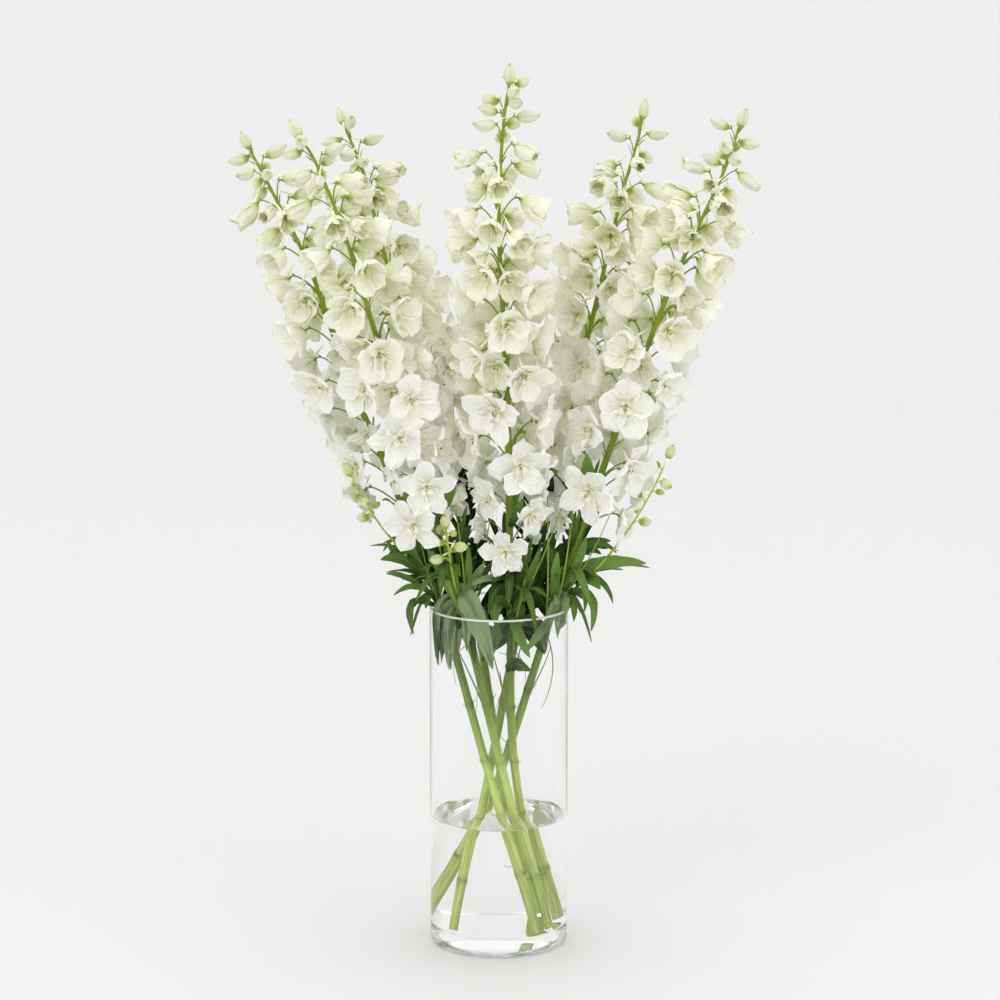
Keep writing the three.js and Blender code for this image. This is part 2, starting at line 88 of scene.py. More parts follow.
# Each spike: the height of its lowest floret, the azimuth of that floret, the seed of its small
# irregularities and the path of its stem from the cut end to the tip.
SPIKES = {
    "far_left": (372, 20, 11, [
        (31, -38, 17.4), (-12, -17, 165), (-50, -3, 297), (-92, -1, 410), (-128, 1, 496),
        (-160, 8, 588), (-190, 13, 650), (-210, 16, 688)]),
    "left": (352, 100, 23, [
        (39, -22, 17.4), (1, -20, 165), (-31, -25, 297), (-68, -36, 420), (-98, -45, 523),
        (-127, -54, 622), (-150, -60, 682), (-162, -62, 702)]),
    "back_left": (362, 250, 37, [
        (18, 40, 17.4), (-2, 30, 165), (-22, 28, 297), (-47, 60, 433), (-69, 74, 500),
        (-100, 90, 592), (-117, 100, 660), (-135, 106, 704)]),
    "centre": (338, 262, 41, [
        (36, 13, 17.4), (13, -5, 165), (10, -15, 297), (8, -46, 459), (4, -59, 550),
        (0, -69, 640), (4, -74, 715), (9, -75, 750)]),
    "back_right": (364, 60, 53, [
        (-36, -28, 17.4), (-5, 0, 165), (22, 25, 297), (58, 65, 441), (86, 84, 554),
        (106, 96, 638), (121, 103, 690), (125, 105, 708)]),
    "far_right": (356, 200, 67, [
        (-42, 20, 17.4), (8, 11, 165), (49, 5, 297), (87, -18, 416), (120, -23, 512),
        (150, -26, 590), (187, -26, 672), (200, -25, 710)]),
}

# A stem: its radius at the foot and at the tip, the share of it that is gone at the lowest floret,
# the bare length at its tip, which is doubled below its flowers, and the step from ring to ring.
STEM = {"radius": 3.85, "tip": 1.1, "taper": 0.16, "sunk": 2, "sides": 18, "step": 3.75}
# How far each floret stands above the one before, and how far round the stem from it.
RISE = 9.2
SPIRAL = 137.5
SEPALS = 5
# How much nearer a floret's tips are to their own stem than to any other. A floret that isn't
# clear shrinks in steps, and is left out below the least size.
CLEAR = 2.4
SHRINK = {"step": 0.94, "least": 0.55}
# How far inside the frame's box the tips stay, with room for their waves and crinkles.
EDGE = 3.9

# How a floret grows from the foot of the flower head (at 0) to the tip (at 1): a sepal's angle to
# the flower's axis at its base and at its lip, its length and how far the flower is drawn out; how
# far the stalk climbs and stands out; and how far the flower faces up from square to the stem.
STAGE_WORDS = ("at", "base", "lip", "petal", "stretch", "rise", "out", "tilt")
STAGES = np.array([
    (0.0, 78, 66, 26, 1.0, 24, 28, -8),
    (0.3, 75, 46, 27, 1.0, 24, 26, -12),
    (0.55, 70, 13, 27, 1.0, 20, 22, -16),
    (0.76, 67, -14, 25, 1.1, 17, 18, -18),
    (0.87, 68, -44, 21, 1.3, 14, 14, -12),
    (0.88, 80, -80, 20, 1.4, 13, 11, -4),
    (1.0, 80, -80, 16, 1.45, 8, 7, 20),
])
# The bud at the very tip stands almost upright on the stem.
TIP_BUD = {"rise": 3, "out": 0, "tilt": 82}
# Lip angles: a flower below the first is a closed bud, and one above the second shows its middle.
BUD_LIP = -60
MIDDLE_LIP = -30
# The length of a sepal in a full-grown floret, by which the small parts are scaled.
FULL_PETAL = 26
# How far each flower strays from its place and its size. place_flower takes the drawn words.
JITTER = {"azimuth": 9, "rise": 1.6, "size": 0.07, "roll": 14, "tilt": 8, "yaw": 9}
DRAWN = ("size", "roll", "tilt", "yaw")

# Leaves: the foot's height, the azimuth, the stalk's and the blade's length, the width of a lobe,
# the slope at the foot and the fall with the distance squared.
LEAVES = {"far_left": [
    (332, 184, 14, 38, 11, 0.9, 0.55), (314, 172, 12, 32, 10, 0.9, 0.65),
    (304, 204, 7, 21, 9, 1.3, 2.7), (346, 138, 14, 34, 11, 0.9, 1.1),
], "left": [
    (318, 222, 14, 34, 11, 1.3, 1.5), (334, 258, 12, 32, 11, 1.1, 1.4),
    (296, 296, 6, 19, 10, 0.7, 2.5),
], "back_left": [
    (322, 140, 16, 38, 11, 1.0, 1.2), (306, 112, 14, 36, 11, 1.4, 1.9),
    (338, 84, 12, 30, 11, 0.9, 1.1),
], "centre": [
    (310, 248, 14, 34, 11, 1.4, 1.6), (304, 300, 14, 36, 11, 1.5, 1.8),
    (328, 272, 10, 30, 11, 0.9, 1.4), (290, 268, 6, 18, 9, 0.6, 2.3),
], "back_right": [
    (320, 30, 16, 38, 11, 1.0, 1.2), (306, 62, 14, 36, 11, 1.4, 1.9),
    (336, 90, 12, 32, 11, 0.9, 1.1),
], "far_right": [
    (308, 352, 16, 62, 12, 0.8, 0.48), (302, 332, 9, 26, 9, 1.3, 2.3),
    (336, 8, 12, 32, 10, 0.9, 0.7), (324, 288, 14, 34, 11, 1.1, 1.5),
]}
# A leaf: the angle from lobe to lobe, how it drops to its sides, its stalk, and how much fuller its
# lobes are than the frame's.
LEAF = {"spread": 48, "cup": 0.006, "stalk_radius": 1.1, "stalk_sides": 8, "fuller": 1.08}

# Side shoots: the foot's height, the azimuth, the reach, the climb and the first bud's turn.
SHOOTS = {
    "far_left": (330, 196, 66, 84, 150),
    "left": (306, 252, 34, 70, 200),
    "far_right": (300, 338, 100, 132, 30),
}
# A shoot: the part of it that its buds stand on, its knee as shares of the reach and the climb, how
# small its small buds are, and how far before the others they stand.
SHOOT = {"radius": 1.2, "buds": 4, "from": 0.6, "to": 0.98, "bend_out": 0.62, "bend_up": 0.34,
         "small": 0.62, "before": 0.45, "rings": 28, "sides": 9}
SHOOT_BUD = {"base": 84, "lip": -84, "petal": 14, "stretch": 1.3, "rise": 5, "out": 5, "tilt": 10}

# The camera: where it stands, how far it looks down and its focal length on the sensor's width.
CAMERA = {"place": (1.08, -2600, 854), "down": 10.104, "lens": 110.85, "sensor": 36}
# The floor, in metres: the level part, the bend, the wall, and the hole that a fan closes.
FLOOR = {"flat": 3.2, "bend": 1.6, "wall": 3.2, "hole": 1.0, "sides": 72, "rings": 17}
# The lamps, in metres: the place and the width. They look at the middle of the bunch.
LAMPS = {"key": ((-1.5, -2.2, 2.6), 2.2), "fill": ((1.9, -1.6, 1.8), 2.0)}
LAMP_AIM = (0, 0, 0.42)
# How often light may pass through glass and water, and how often it goes on from petal to petal,
# which keeps the shade between them soft.
CLEAR_BOUNCES = 300
PETAL_BOUNCES = 32


# ---- Curves and directions ----


UP = np.array([0, 0, 1.0])


def unit(vectors):
    """Vectors of length one."""
    return vectors / np.linalg.norm(vectors, axis=-1, keepdims=True)


def dot(a, b):
    """The inner product over the last axis, kept as an axis."""
    return (a * b).sum(-1, keepdims=True)


def round_angles(count):
    """Equal steps round a full turn, in radians."""
    return np.arange(count) * 2 * math.pi / count


def level_way(angle):
    """The level direction at an azimuth in radians."""
    return np.array([math.cos(angle), math.sin(angle), 0])


def randoms(state, factor=16807, modulus=2147483647):
    """A repeatable stream of numbers between 0 and 1: a state that is multiplied by a factor each
    time, and taken modulo a prime."""
    while True:
        state = state * factor % modulus
        yield state / modulus


class Curve:
    """A line that is read by the share of its length. The running length of short chords turns a
    share into a place, which the line's own formula takes. Both go from 0 to 1."""

    CHORDS = 200
    NUDGE = 0.0001

    def measure(self):
        """Takes the running length of the chords."""
        self.places = np.linspace(0, 1, self.CHORDS + 1)
        steps = np.linalg.norm(np.diff(self.by_place(self.places), axis=0), axis=1)
        self.running = np.concatenate([[0], np.cumsum(steps)])
        self.length = self.running[-1]

    def place(self, share):
        """The place at a share of the length."""
        return np.interp(np.asarray(share) * self.length, self.running, self.places)

    def point(self, share):
        """The point at a share of the length."""
        return self.by_place(self.place(share))

    def heading(self, share):
        """The direction at a share, from a place just before to one just after."""
        place = self.place(share)
        low, high = np.clip(place - self.NUDGE, 0, 1), np.clip(place + self.NUDGE, 0, 1)
        return unit(self.by_place(high) - self.by_place(low))


class Axis(Curve):
    """A stem's centre line. Between two of its points it is the cubic through both whose slope at
    each is half the step between that point's neighbours."""

    SAMPLES = 120

    def __init__(self, path):
        """Adds a point before the first and after the last, each as far out as its neighbour."""
        points = np.array(path, float)
        before, after = 2 * points[0] - points[1], 2 * points[-1] - points[-2]
        self.points = np.vstack([before, points, after])
        self.measure()
        self.samples = self.point(np.linspace(0, 1, self.SAMPLES + 1))

    def by_place(self, place):
        """Points on the cubics, each of which takes an equal part of the places."""
        scaled = np.asarray(place, float) * (len(self.points) - 3)
        i = np.clip(np.floor(scaled).astype(int), 0, len(self.points) - 4)
        w = (scaled - i)[..., None]
        p0, p1, p2, p3 = (self.points[i + k] for k in range(4))
        s1, s2 = (p2 - p0) / 2, (p3 - p1) / 2
        square, cube = 3 * p2 - 3 * p1 - 2 * s1 - s2, 2 * p1 - 2 * p2 + s1 + s2
        return p1 + s1 * w + square * w**2 + cube * w**3

    def share_at(self, height):
        """The share at which the stem reaches a height, between the two nearest samples."""
        z = self.samples[:, 2]
        above = max(1, int(np.argmax(z >= height)))
        return (above - 1 + (height - z[above - 1]) / (z[above] - z[above - 1])) / self.SAMPLES

    def at(self, height):
        """The point at a height."""
        return self.point(self.share_at(height))

    def level_distance(self, point):
        """How far a point lies from the stem at its own height."""
        share = self.share_at(min(point[2], self.samples[-1, 2])) * self.SAMPLES
        low = min(int(share), self.SAMPLES - 1)
        centre = self.samples[low] + (self.samples[low + 1] - self.samples[low]) * (share - low)
        return math.hypot(point[0] - centre[0], point[1] - centre[1])


AXES = {name: Axis(spike[3]) for name, spike in SPIKES.items()}


class Bow(Curve):
    """A quadratic curve over three points: it starts at the first and ends at the last, and bends
    towards the one between them."""

    NUDGE = 0.001

    def __init__(self, *points):
        """Takes the three points."""
        self.points = [np.array(point, float) for point in points]
        self.measure()

    def by_place(self, place):
        """The points' sum, by the square of what is left, twice the product and the square of the
        place."""
        w = np.asarray(place, float)[..., None]
        foot, knee, end = self.points
        return foot * (1 - w) ** 2 + knee * 2 * w * (1 - w) + end * w**2

    def heading(self, share):
        """The direction at a share, from a share just before to one just after."""
        before, after = np.clip(share - self.NUDGE, 0, 1), np.clip(share + self.NUDGE, 0, 1)
        return unit(self.point(after) - self.point(before))


def outwards(heading, azimuth):
    """The direction square to the heading at an azimuth, 0 to the right and 90 to the back."""
    right = unit(np.array([1.0, 0, 0]) - heading * heading[..., :1])
    back = np.cross(heading, right)
    angle = np.radians(azimuth)
    return right * np.cos(angle) + back * np.sin(angle)


# ---- Flowers on their stems ----


def stage_at(share):
    """The growth stage at a share of the flowering part, between the two nearest rows."""
    return {word: np.interp(share, STAGES[:, 0], row) for word, row in zip(STAGE_WORDS, STAGES.T)}


def place_flower(axis, along, azimuth, stage, draw=(0, 0, 0, 0), scale=1.0):
    """One flower: its foot on the stem, the root of its sepals and its three directions.

    The root stands above the foot by the stage's rise and out from it by the stage's reach. The
    flower faces outwards, turned up by its tilt, and is rolled about that direction.
    """
    size, roll, tilt, yaw = draw
    foot, heading = axis.point(along), axis.heading(along)
    up_angle = math.radians(stage["tilt"] + tilt)
    level = outwards(heading, azimuth + yaw)
    facing = level * math.cos(up_angle) + heading * math.sin(up_angle)
    upright = unit(heading - facing * heading.dot(facing))
    turn = math.radians(roll)
    up = upright * math.cos(turn) + np.cross(facing, upright) * math.sin(turn)
    out = outwards(heading, azimuth)
    root = foot + heading * stage["rise"] * scale + out * stage["out"] * scale
    return {
        **stage, "foot": foot, "heading": heading, "out_way": out, "facing": facing, "up": up,
        "side": np.cross(facing, up), "root": root, "petal": stage["petal"] * scale * (1 + size),
        "rise": stage["rise"] * scale, "size": scale,
    }


def tip_of(flower):
    """How far a sepal's tip lies from the flower's axis and along it: the ends of an arc that turns
    evenly from the base angle to the lip angle."""
    start, end = math.radians(flower["base"]), math.radians(flower["lip"])
    length = flower["petal"] / (end - start)
    across = length * (math.cos(start) - math.cos(end))
    return across, length * (math.sin(end) - math.sin(start)) * flower["stretch"]


def keeps_clear(flower, name):
    """Whether the tips and the mouth lie nearer to their own stem than to any other."""
    across, depth = tip_of(flower)
    angles = round_angles(SEPALS)[:, None]
    ring = flower["side"] * np.sin(angles) + flower["up"] * np.cos(angles)
    mouth = flower["root"] + flower["facing"] * depth
    others = [axis for other, axis in AXES.items() if other != name]
    for point in [*(mouth + ring * across), mouth]:
        limit = AXES[name].level_distance(point) + CLEAR
        if any(axis.level_distance(point) < limit for axis in others):
            return False
    return True


def flowering_part(name):
    """A spike's stem, the shares at which its flowers start and end, and how many there are."""
    axis = AXES[name]
    start = axis.share_at(SPIKES[name][0]) + 2 * STEM["sunk"] / axis.length
    end = 1 - STEM["sunk"] / axis.length
    return axis, start, end, round((end - start) * axis.length / RISE)


def flowers_of(name):
    """All the flowers of a spike, from the lowest to the bud at its tip. Each stands a step higher
    and a spiral's turn further than the one before, and strays a little."""
    _, turn, seed, _ = SPIKES[name]
    axis, start, end, count = flowering_part(name)
    stream, flowers = randoms(seed), []
    for n in range(count):
        share = n / (count - 1)
        spread = {word: (next(stream) * 2 - 1) * JITTER[word]
                  for word in ("rise", "azimuth", *DRAWN)}
        along = min(start + (end - start) * share + spread["rise"] / axis.length, end)
        azimuth = turn + n * SPIRAL + spread["azimuth"]
        stage = stage_at(share) if n < count - 1 else {**stage_at(1), **TIP_BUD}
        draw = [spread[word] for word in DRAWN]
        scale, flower = 1.0, place_flower(axis, along, azimuth, stage, draw)
        while scale > SHRINK["least"] and not keeps_clear(flower, name):
            scale *= SHRINK["step"]
            flower = place_flower(axis, along, azimuth, stage, draw, scale)
        if scale > SHRINK["least"]:
            flowers.append({**flower, "share": share})
    return flowers


# The inner florets: their turn from the outer one below and how far it strays, the part of the
# head that has them, their reach, rise and size against an outer one's, and how many of the places
# they take, few in the bare lowest part.
INNER = {"turn": 180, "azimuth": 16, "until": 0.97, "out": 0.62, "rise": 0.85, "size": 0.88,
         "bare": 0.2, "few": 0.2, "kept": 0.64}


def inner_flowers(name):
    """The florets that stand nearer the stem, between the others, on the side opposite to the one
    below, almost as far up as the tip."""
    _, turn, seed, _ = SPIKES[name]
    axis, start, end, count = flowering_part(name)
    seeds, flowers = np.random.default_rng(seed + SEEDS["inner"]), []
    for n in range(int(INNER["until"] * (count - 1))):
        share = (n + 0.5) / (count - 1)
        stage = stage_at(share)
        stage.update(out=stage["out"] * INNER["out"], rise=stage["rise"] * INNER["rise"])
        azimuth = turn + n * SPIRAL + INNER["turn"] + seeds.uniform(-1, 1) * INNER["azimuth"]
        draw = [seeds.uniform(-1, 1) * JITTER[word] for word in DRAWN]
        along = start + (end - start) * share
        flower = place_flower(axis, along, azimuth, stage, draw, INNER["size"])
        kept = INNER["few"] if share < INNER["bare"] else INNER["kept"]
        if seeds.uniform() < kept and keeps_clear(flower, name):
            flowers.append({**flower, "share": share})
    return flowers


def shoot_flowers(name):
    """The twig and the buds of a spike's side shoot, with a small bud just before each but the
    first. The last stands at the tip."""
    at, azimuth, reach, climb, turn = SHOOTS[name]
    foot, angle = AXES[name].at(at), math.radians(azimuth)
    level, rise = level_way(angle) * reach, UP * climb
    knee = foot + level * SHOOT["bend_out"] + rise * SHOOT["bend_up"]
    twig = Bow(foot, knee, foot + level + rise)
    step = (SHOOT["to"] - SHOOT["from"]) / (SHOOT["buds"] - 1)
    buds = []
    for n in range(SHOOT["buds"]):
        along = SHOOT["from"] + n * step
        stage = SHOOT_BUD if n < SHOOT["buds"] - 1 else {**SHOOT_BUD, **TIP_BUD}
        buds.append(place_flower(twig, along, turn + n * SPIRAL, stage))
        if n:
            azimuth = turn + (n + 0.5) * SPIRAL
            buds.append(place_flower(
                twig, along - step * SHOOT["before"], azimuth, SHOOT_BUD, scale=SHOOT["small"]))
    return twig, [{**bud, "share": 1.0} for bud in buds]


def stacked(flowers):
    """One array for each word of the flowers, a row for each flower.

    A flower whose tips would reach past the frame's box is moved back into it.
    """
    found = {word: np.array([flower[word] for flower in flowers]) for word in flowers[0]}
    across, depth = (np.array(part)[:, None, None] for part in zip(*map(tip_of, flowers)))
    angles = round_angles(SEPALS)[None, :, None]
    side, up, facing, root = (found[word][:, None] for word in ("side", "up", "facing", "root"))
    tips = root + facing * depth + (side * np.sin(angles) + up * np.cos(angles)) * across
    low, high = np.array(CAD_BOX) / MM
    found["root"] += np.maximum(low + EDGE - tips.min(1), 0)
    found["root"] -= np.maximum(tips.max(1) - high + EDGE, 0)
    return found


# ---- Meshes ----


def cells_of(rows, columns):
    """The row and the column of each cell, row by row."""
    return np.divmod(np.arange(rows * columns), columns)


def sheet_faces(rows, columns):
    """The faces of one thin sheet, whose front grid of corners comes before its back grid.

    Gives the corners of each face, each corner's place on the grid, and the side of the map.
    The front's quads run along, then across; the back's run the other way round, and the rim's
    join the two grids round the border, in the front's order.
    """
    i, j = cells_of(rows - 1, columns - 1)
    low, high = i * columns + j, (i + 1) * columns + j
    cell = np.stack([low, high, high + 1, low + 1], 1)
    left, top = np.arange(rows) * columns, (rows - 1) * columns + np.arange(columns)
    right, bottom = left[-2::-1] + columns - 1, np.arange(columns - 2, 0, -1)
    border = np.concatenate([left, top[1:], right, bottom])
    after = np.roll(border, -1)
    back = rows * columns
    rim = np.stack([after, border, border + back, after + back], 1)
    corners = np.concatenate([cell, cell[:, ::-1] + back, rim])
    places = np.concatenate([cell, cell[:, ::-1], np.stack([after, border, border, after], 1)])
    grid = np.stack([places // columns / (rows - 1), places % columns / (columns - 1)], -1)
    side = np.repeat([0, 1, 0], [len(cell), len(cell), len(rim)])
    return corners, grid, side


def ring_faces(rings, sides):
    """The quads between neighbouring rings of a round piece, and their places on the map."""
    i, j = cells_of(rings - 1, sides)
    near, far, after = i * sides, (i + 1) * sides, (j + 1) % sides
    corners = np.stack([near + j, near + after, far + after, far + j], 1)
    along = np.stack([i, i, i + 1, i + 1], 1) / (rings - 1)
    return corners, np.stack([along, np.stack([j, j + 1, j + 1, j], 1) / sides], -1)


def cap_faces(rings, sides):
    """The triangles from the first and the last ring to the two middles that follow the rings."""
    j = np.arange(sides)
    after, first, last = (j + 1) % sides, rings * sides, (rings - 1) * sides
    near = np.stack([np.full(sides, first), after, j], 1)
    far = np.stack([np.full(sides, first + 1), last + j, last + after], 1)
    ends = np.repeat([0.0, 1.0], sides)[:, None].repeat(3, 1)
    turns = np.tile(np.stack([j + 0.5, j + 1, j], 1), (2, 1)) / sides
    return np.concatenate([near, far]), np.stack([ends, turns], -1)


def in_scene(name, data):
    """A new object in the scene, for a mesh, a lamp or a camera."""
    thing = bpy.data.objects.new(name, data)
    bpy.context.scene.collection.objects.link(thing)
    return thing


class Patchwork:
    """One mesh gathered from many grids, with their numbers and a square of the map for each."""

    MARGIN = 0.06  # the share of a square that stays free at each side

    def __init__(self):
        """Starts empty: points, numbers by point, and faces by how many corners they have."""
        self.points, self.values, self.faces = [], [], {4: [], 3: []}
        self.total, self.squares = 0, 0

    def add(self, points, faces, values, squares):
        """Adds copies of one grid: points by copy, and faces as corners, places, square and
        material."""
        copies, size = points.shape[:2]
        for corners, places, square, material in faces:
            shift = self.total + np.arange(copies)[:, None, None] * size
            cells = self.squares + np.arange(copies)[:, None] * squares + square
            wide = corners.shape[1]
            self.faces[wide].append((
                (corners + shift).reshape(-1, wide),
                np.broadcast_to(places, (copies, *places.shape)).reshape(-1, wide, 2),
                np.broadcast_to(cells, (copies, len(corners))).ravel(),
                np.broadcast_to(material, (copies, len(corners))).ravel()))
        self.points.append(points.reshape(-1, 3))
        self.values.append({word: np.ravel(value) for word, value in values.items()})
        self.total += copies * size
        self.squares += copies * squares

    def sheets(self, grids, thickness, material=0, **values):
        """Closed thin sheets. Each grid goes half the thickness to both sides along its normal,
        the cross product of its steps along and across. The number front is 1 on the side that the
        normal leaves, and 0 on the other."""
        copies, rows, columns = grids.shape[:3]
        along, across = np.gradient(grids, axis=(1, 2))
        half = unit(np.cross(along, across)) * thickness / 2
        points = np.stack([grids + half, grids - half], 1).reshape(copies, -1, 3)
        corners, places, side = sheet_faces(rows, columns)
        shape = (copies, 2, rows, columns)
        numbers = {word: np.broadcast_to(value, grids.shape[:3])[:, None]
                   for word, value in values.items()}
        numbers["front"] = np.array([1.0, 0])[:, None, None]
        spread = {word: np.broadcast_to(value, shape) for word, value in numbers.items()}
        self.add(points, [(corners, places, side, material)], spread, 2)

    def tubes(self, centres, radii, beside, sides, material=0, **values):
        """Closed round bars. A ring stands at each centre, square to the line there; it starts from
        the direction beside, made square to the line, and its radius is given by ring or by corner.
        For patterns that follow the bar, each corner holds the length run so far, and how far it
        lies aside of and behind the middle, in metres."""
        copies, rings = centres.shape[:2]
        line = unit(np.gradient(centres, axis=1))
        beside = np.broadcast_to(np.asarray(beside, float)[:, None], centres.shape)
        right = unit(beside - line * dot(beside, line))
        back = np.cross(line, right)
        angle = round_angles(sides)[:, None]
        ring = right[:, :, None] * np.cos(angle) + back[:, :, None] * np.sin(angle)
        radii = np.broadcast_to(radii if np.ndim(radii) == 3 else np.asarray(radii)[..., None],
                                (copies, rings, sides))
        around = (centres[:, :, None] + ring * radii[..., None]).reshape(copies, -1, 3)
        points = np.concatenate([around, centres[:, [0, -1]]], 1)
        steps = np.linalg.norm(np.diff(centres, axis=1, prepend=centres[:, :1]), axis=-1)
        values = {**values, "run": np.cumsum(steps, axis=1) * MM}
        spread = {}
        for word, value in values.items():
            value = np.broadcast_to(value, (copies, rings))
            spread[word] = np.concatenate([value.repeat(sides, 1), value[:, [0, -1]]], 1)
        for word, way in (("aside", np.cos(angle[:, 0])), ("behind", np.sin(angle[:, 0]))):
            level = (radii * way * MM).reshape(copies, -1)
            spread[word] = np.concatenate([level, np.zeros((copies, 2))], 1)
        faces = [(*ring_faces(rings, sides), 0, material), (*cap_faces(rings, sides), 0, material)]
        self.add(points, faces, spread, 1)

    def twig(self, line, radii, sides, **values):
        """One closed round bar of the second material, whose rings start from a level way."""
        beside = np.cross(line[-1] - line[0], UP)
        self.tubes(line[None], radii[None], beside[None], sides, 1, **values)

    def turned(self, profile, sides, zones=()):
        """A closed body turned round the Z axis from a profile of radii and heights that starts and
        ends on the axis. Faces between the two heights of a zone take the zone's own material."""
        inner = profile[1:-1]
        angle = round_angles(sides)
        ring = np.stack([np.cos(angle), np.sin(angle)], 1)
        level = inner[:, None, :1] * ring
        height = np.broadcast_to(inner[:, None, 1:], (len(inner), sides, 1))
        middles = np.stack([[0, 0, profile[0, 1]], [0, 0, profile[-1, 1]]])
        points = np.concatenate([np.concatenate([level, height], 2).reshape(-1, 3), middles])
        corners, places = ring_faces(len(inner), sides)
        at = points[corners, 2].mean(1)
        material = sum(n * ((at > low) & (at < high)) for n, (low, high) in enumerate(zones, 1))
        faces = [(corners, places, 0, material), (*cap_faces(len(inner), sides), 0, 0)]
        self.add(points[None], faces, {}, 1)

    def piece(self, name, materials, slot, nodes, crease=50):
        """Makes the object, which rides on the body and stands for the CAD nodes. Each grid has its
        own square of the map, and edges that bend by more than the crease stay sharp."""
        mesh = bpy.data.meshes.new(name)
        found = [[np.concatenate(part) for part in zip(*faces)]
                 for faces in self.faces.values() if faces]
        corners = np.concatenate([part[0].ravel() for part in found])
        totals = np.concatenate([np.full(len(part[0]), part[0].shape[1]) for part in found])
        mesh.vertices.add(self.total)
        mesh.vertices.foreach_set("co", (np.concatenate(self.points) * MM).ravel())
        mesh.loops.add(len(corners))
        mesh.loops.foreach_set("vertex_index", corners)
        mesh.polygons.add(len(totals))
        mesh.polygons.foreach_set("loop_start", np.cumsum(totals) - totals)
        mesh.polygons.foreach_set("material_index", np.concatenate([part[3] for part in found]))
        mesh.update(calc_edges=True)
        across = math.ceil(math.sqrt(self.squares))
        placed = []
        for _, places, cells, _ in found:
            corner = np.stack([cells % across, cells // across], 1)[:, None]
            inside = self.MARGIN + places * (1 - 2 * self.MARGIN)
            placed.append(((corner + inside) / across).reshape(-1, 2))
        layer = mesh.uv_layers.new(name="OFBake")
        layer.uv.foreach_set("vector", np.concatenate(placed).ravel())
        for word in sorted({word for values in self.values for word in values}):
            numbers = [values.get(word, np.zeros(len(points)))
                       for values, points in zip(self.values, self.points)]
            layer = mesh.attributes.new(word, "FLOAT", "POINT")
            layer.data.foreach_set("value", np.concatenate(numbers).astype(np.float32))
        if mesh.validate():
            raise RuntimeError(f"{name} has a face that isn't valid")
        mesh.shade_smooth()
        mesh.set_sharp_from_angle(angle=math.radians(crease))
        for material in materials:
            mesh.materials.append(material)
        piece = in_scene(name, mesh)
        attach(piece, BODY)
        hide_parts(*nodes)
        return piece


# ---- Materials ----


class Shader:
    """A material under construction: a tree of nodes that ends in one Principled shader."""

    def __init__(self, name, **sockets):
        """Sets the shader's own sockets, whose names are given with _ for each space."""
        self.material = bpy.data.materials.new(name)
        self.material.use_nodes = True
        self.tree = self.material.node_tree
        self.surface = self.tree.nodes["Principled BSDF"]
        for word, value in sockets.items():
            self.set(self.surface.inputs[word.replace("_", " ")], value)

    def set(self, socket, value):
        """Links a socket to another one, or gives it a number or a colour."""
        if isinstance(value, bpy.types.NodeSocket):
            self.tree.links.new(value, socket)
        elif socket.type == "RGBA":
            socket.default_value = (*value[:3], 1)
        else:
            socket.default_value = value

    def node(self, kind, inputs=(), **settings):
        """Adds a node with its settings, and sets or links its inputs by name or number."""
        node = self.tree.nodes.new(f"ShaderNode{kind}")
        for word, value in settings.items():
            setattr(node, word, value)
        for word, value in dict(inputs).items():
            self.set(node.inputs[word], value)
        return node

    def number(self, word):
        """A number that the mesh holds at each corner."""
        return self.node("Attribute", attribute_name=word).outputs["Fac"]

    def place(self):
        """Where a point lies, in metres."""
        return self.node("TexCoord").outputs["Object"]

    def maths(self, operation, *values):
        """The result of one operation on up to three values."""
        return self.node("Math", enumerate(values), operation=operation).outputs[0]

    def times(self, first, second):
        """The product of two values."""
        return self.maths("MULTIPLY", first, second)

    def ridges(self, phase, power):
        """Thin lines: the upper half of a sine, made narrower by a power."""
        return self.maths("POWER", self.maths("MAXIMUM", self.maths("SINE", phase), 0.0), power)

    def noise(self, vector, scale, detail=2.0):
        """Soft noise from 0 to 1, whose grains measure one over the scale."""
        inputs = {"Vector": vector, "Scale": scale, "Detail": detail}
        return self.node("TexNoise", inputs).outputs["Fac"]

    def mixed(self, share, first, second):
        """The first colour, and the second one by the share."""
        return self.node("Mix", {0: share, 6: first, 7: second}, data_type="RGBA").outputs[2]

    def ramp(self, value, low, high, to_low=0.0, to_high=1.0):
        """A value moved smoothly from one range to another, and held at its ends."""
        inputs = enumerate((value, low, high, to_low, to_high))
        return self.node("MapRange", inputs, interpolation_type="SMOOTHSTEP").outputs[0]

    def bump(self, height, distance, strength):
        """Raises the surface by a height from 0 to 1, times the distance in metres."""
        node = self.node("Bump", {"Height": height, "Distance": distance, "Strength": strength})
        self.set(self.surface.inputs["Normal"], node.outputs[0])

    def colour(self, value):
        """Sets the colour, and gives the finished material."""
        self.set(self.surface.inputs["Base Color"], value)
        return self.material


def shared(make, settings):
    """The material that a function makes, made only once."""
    return bpy.data.materials.get(make.__name__) or make(settings)


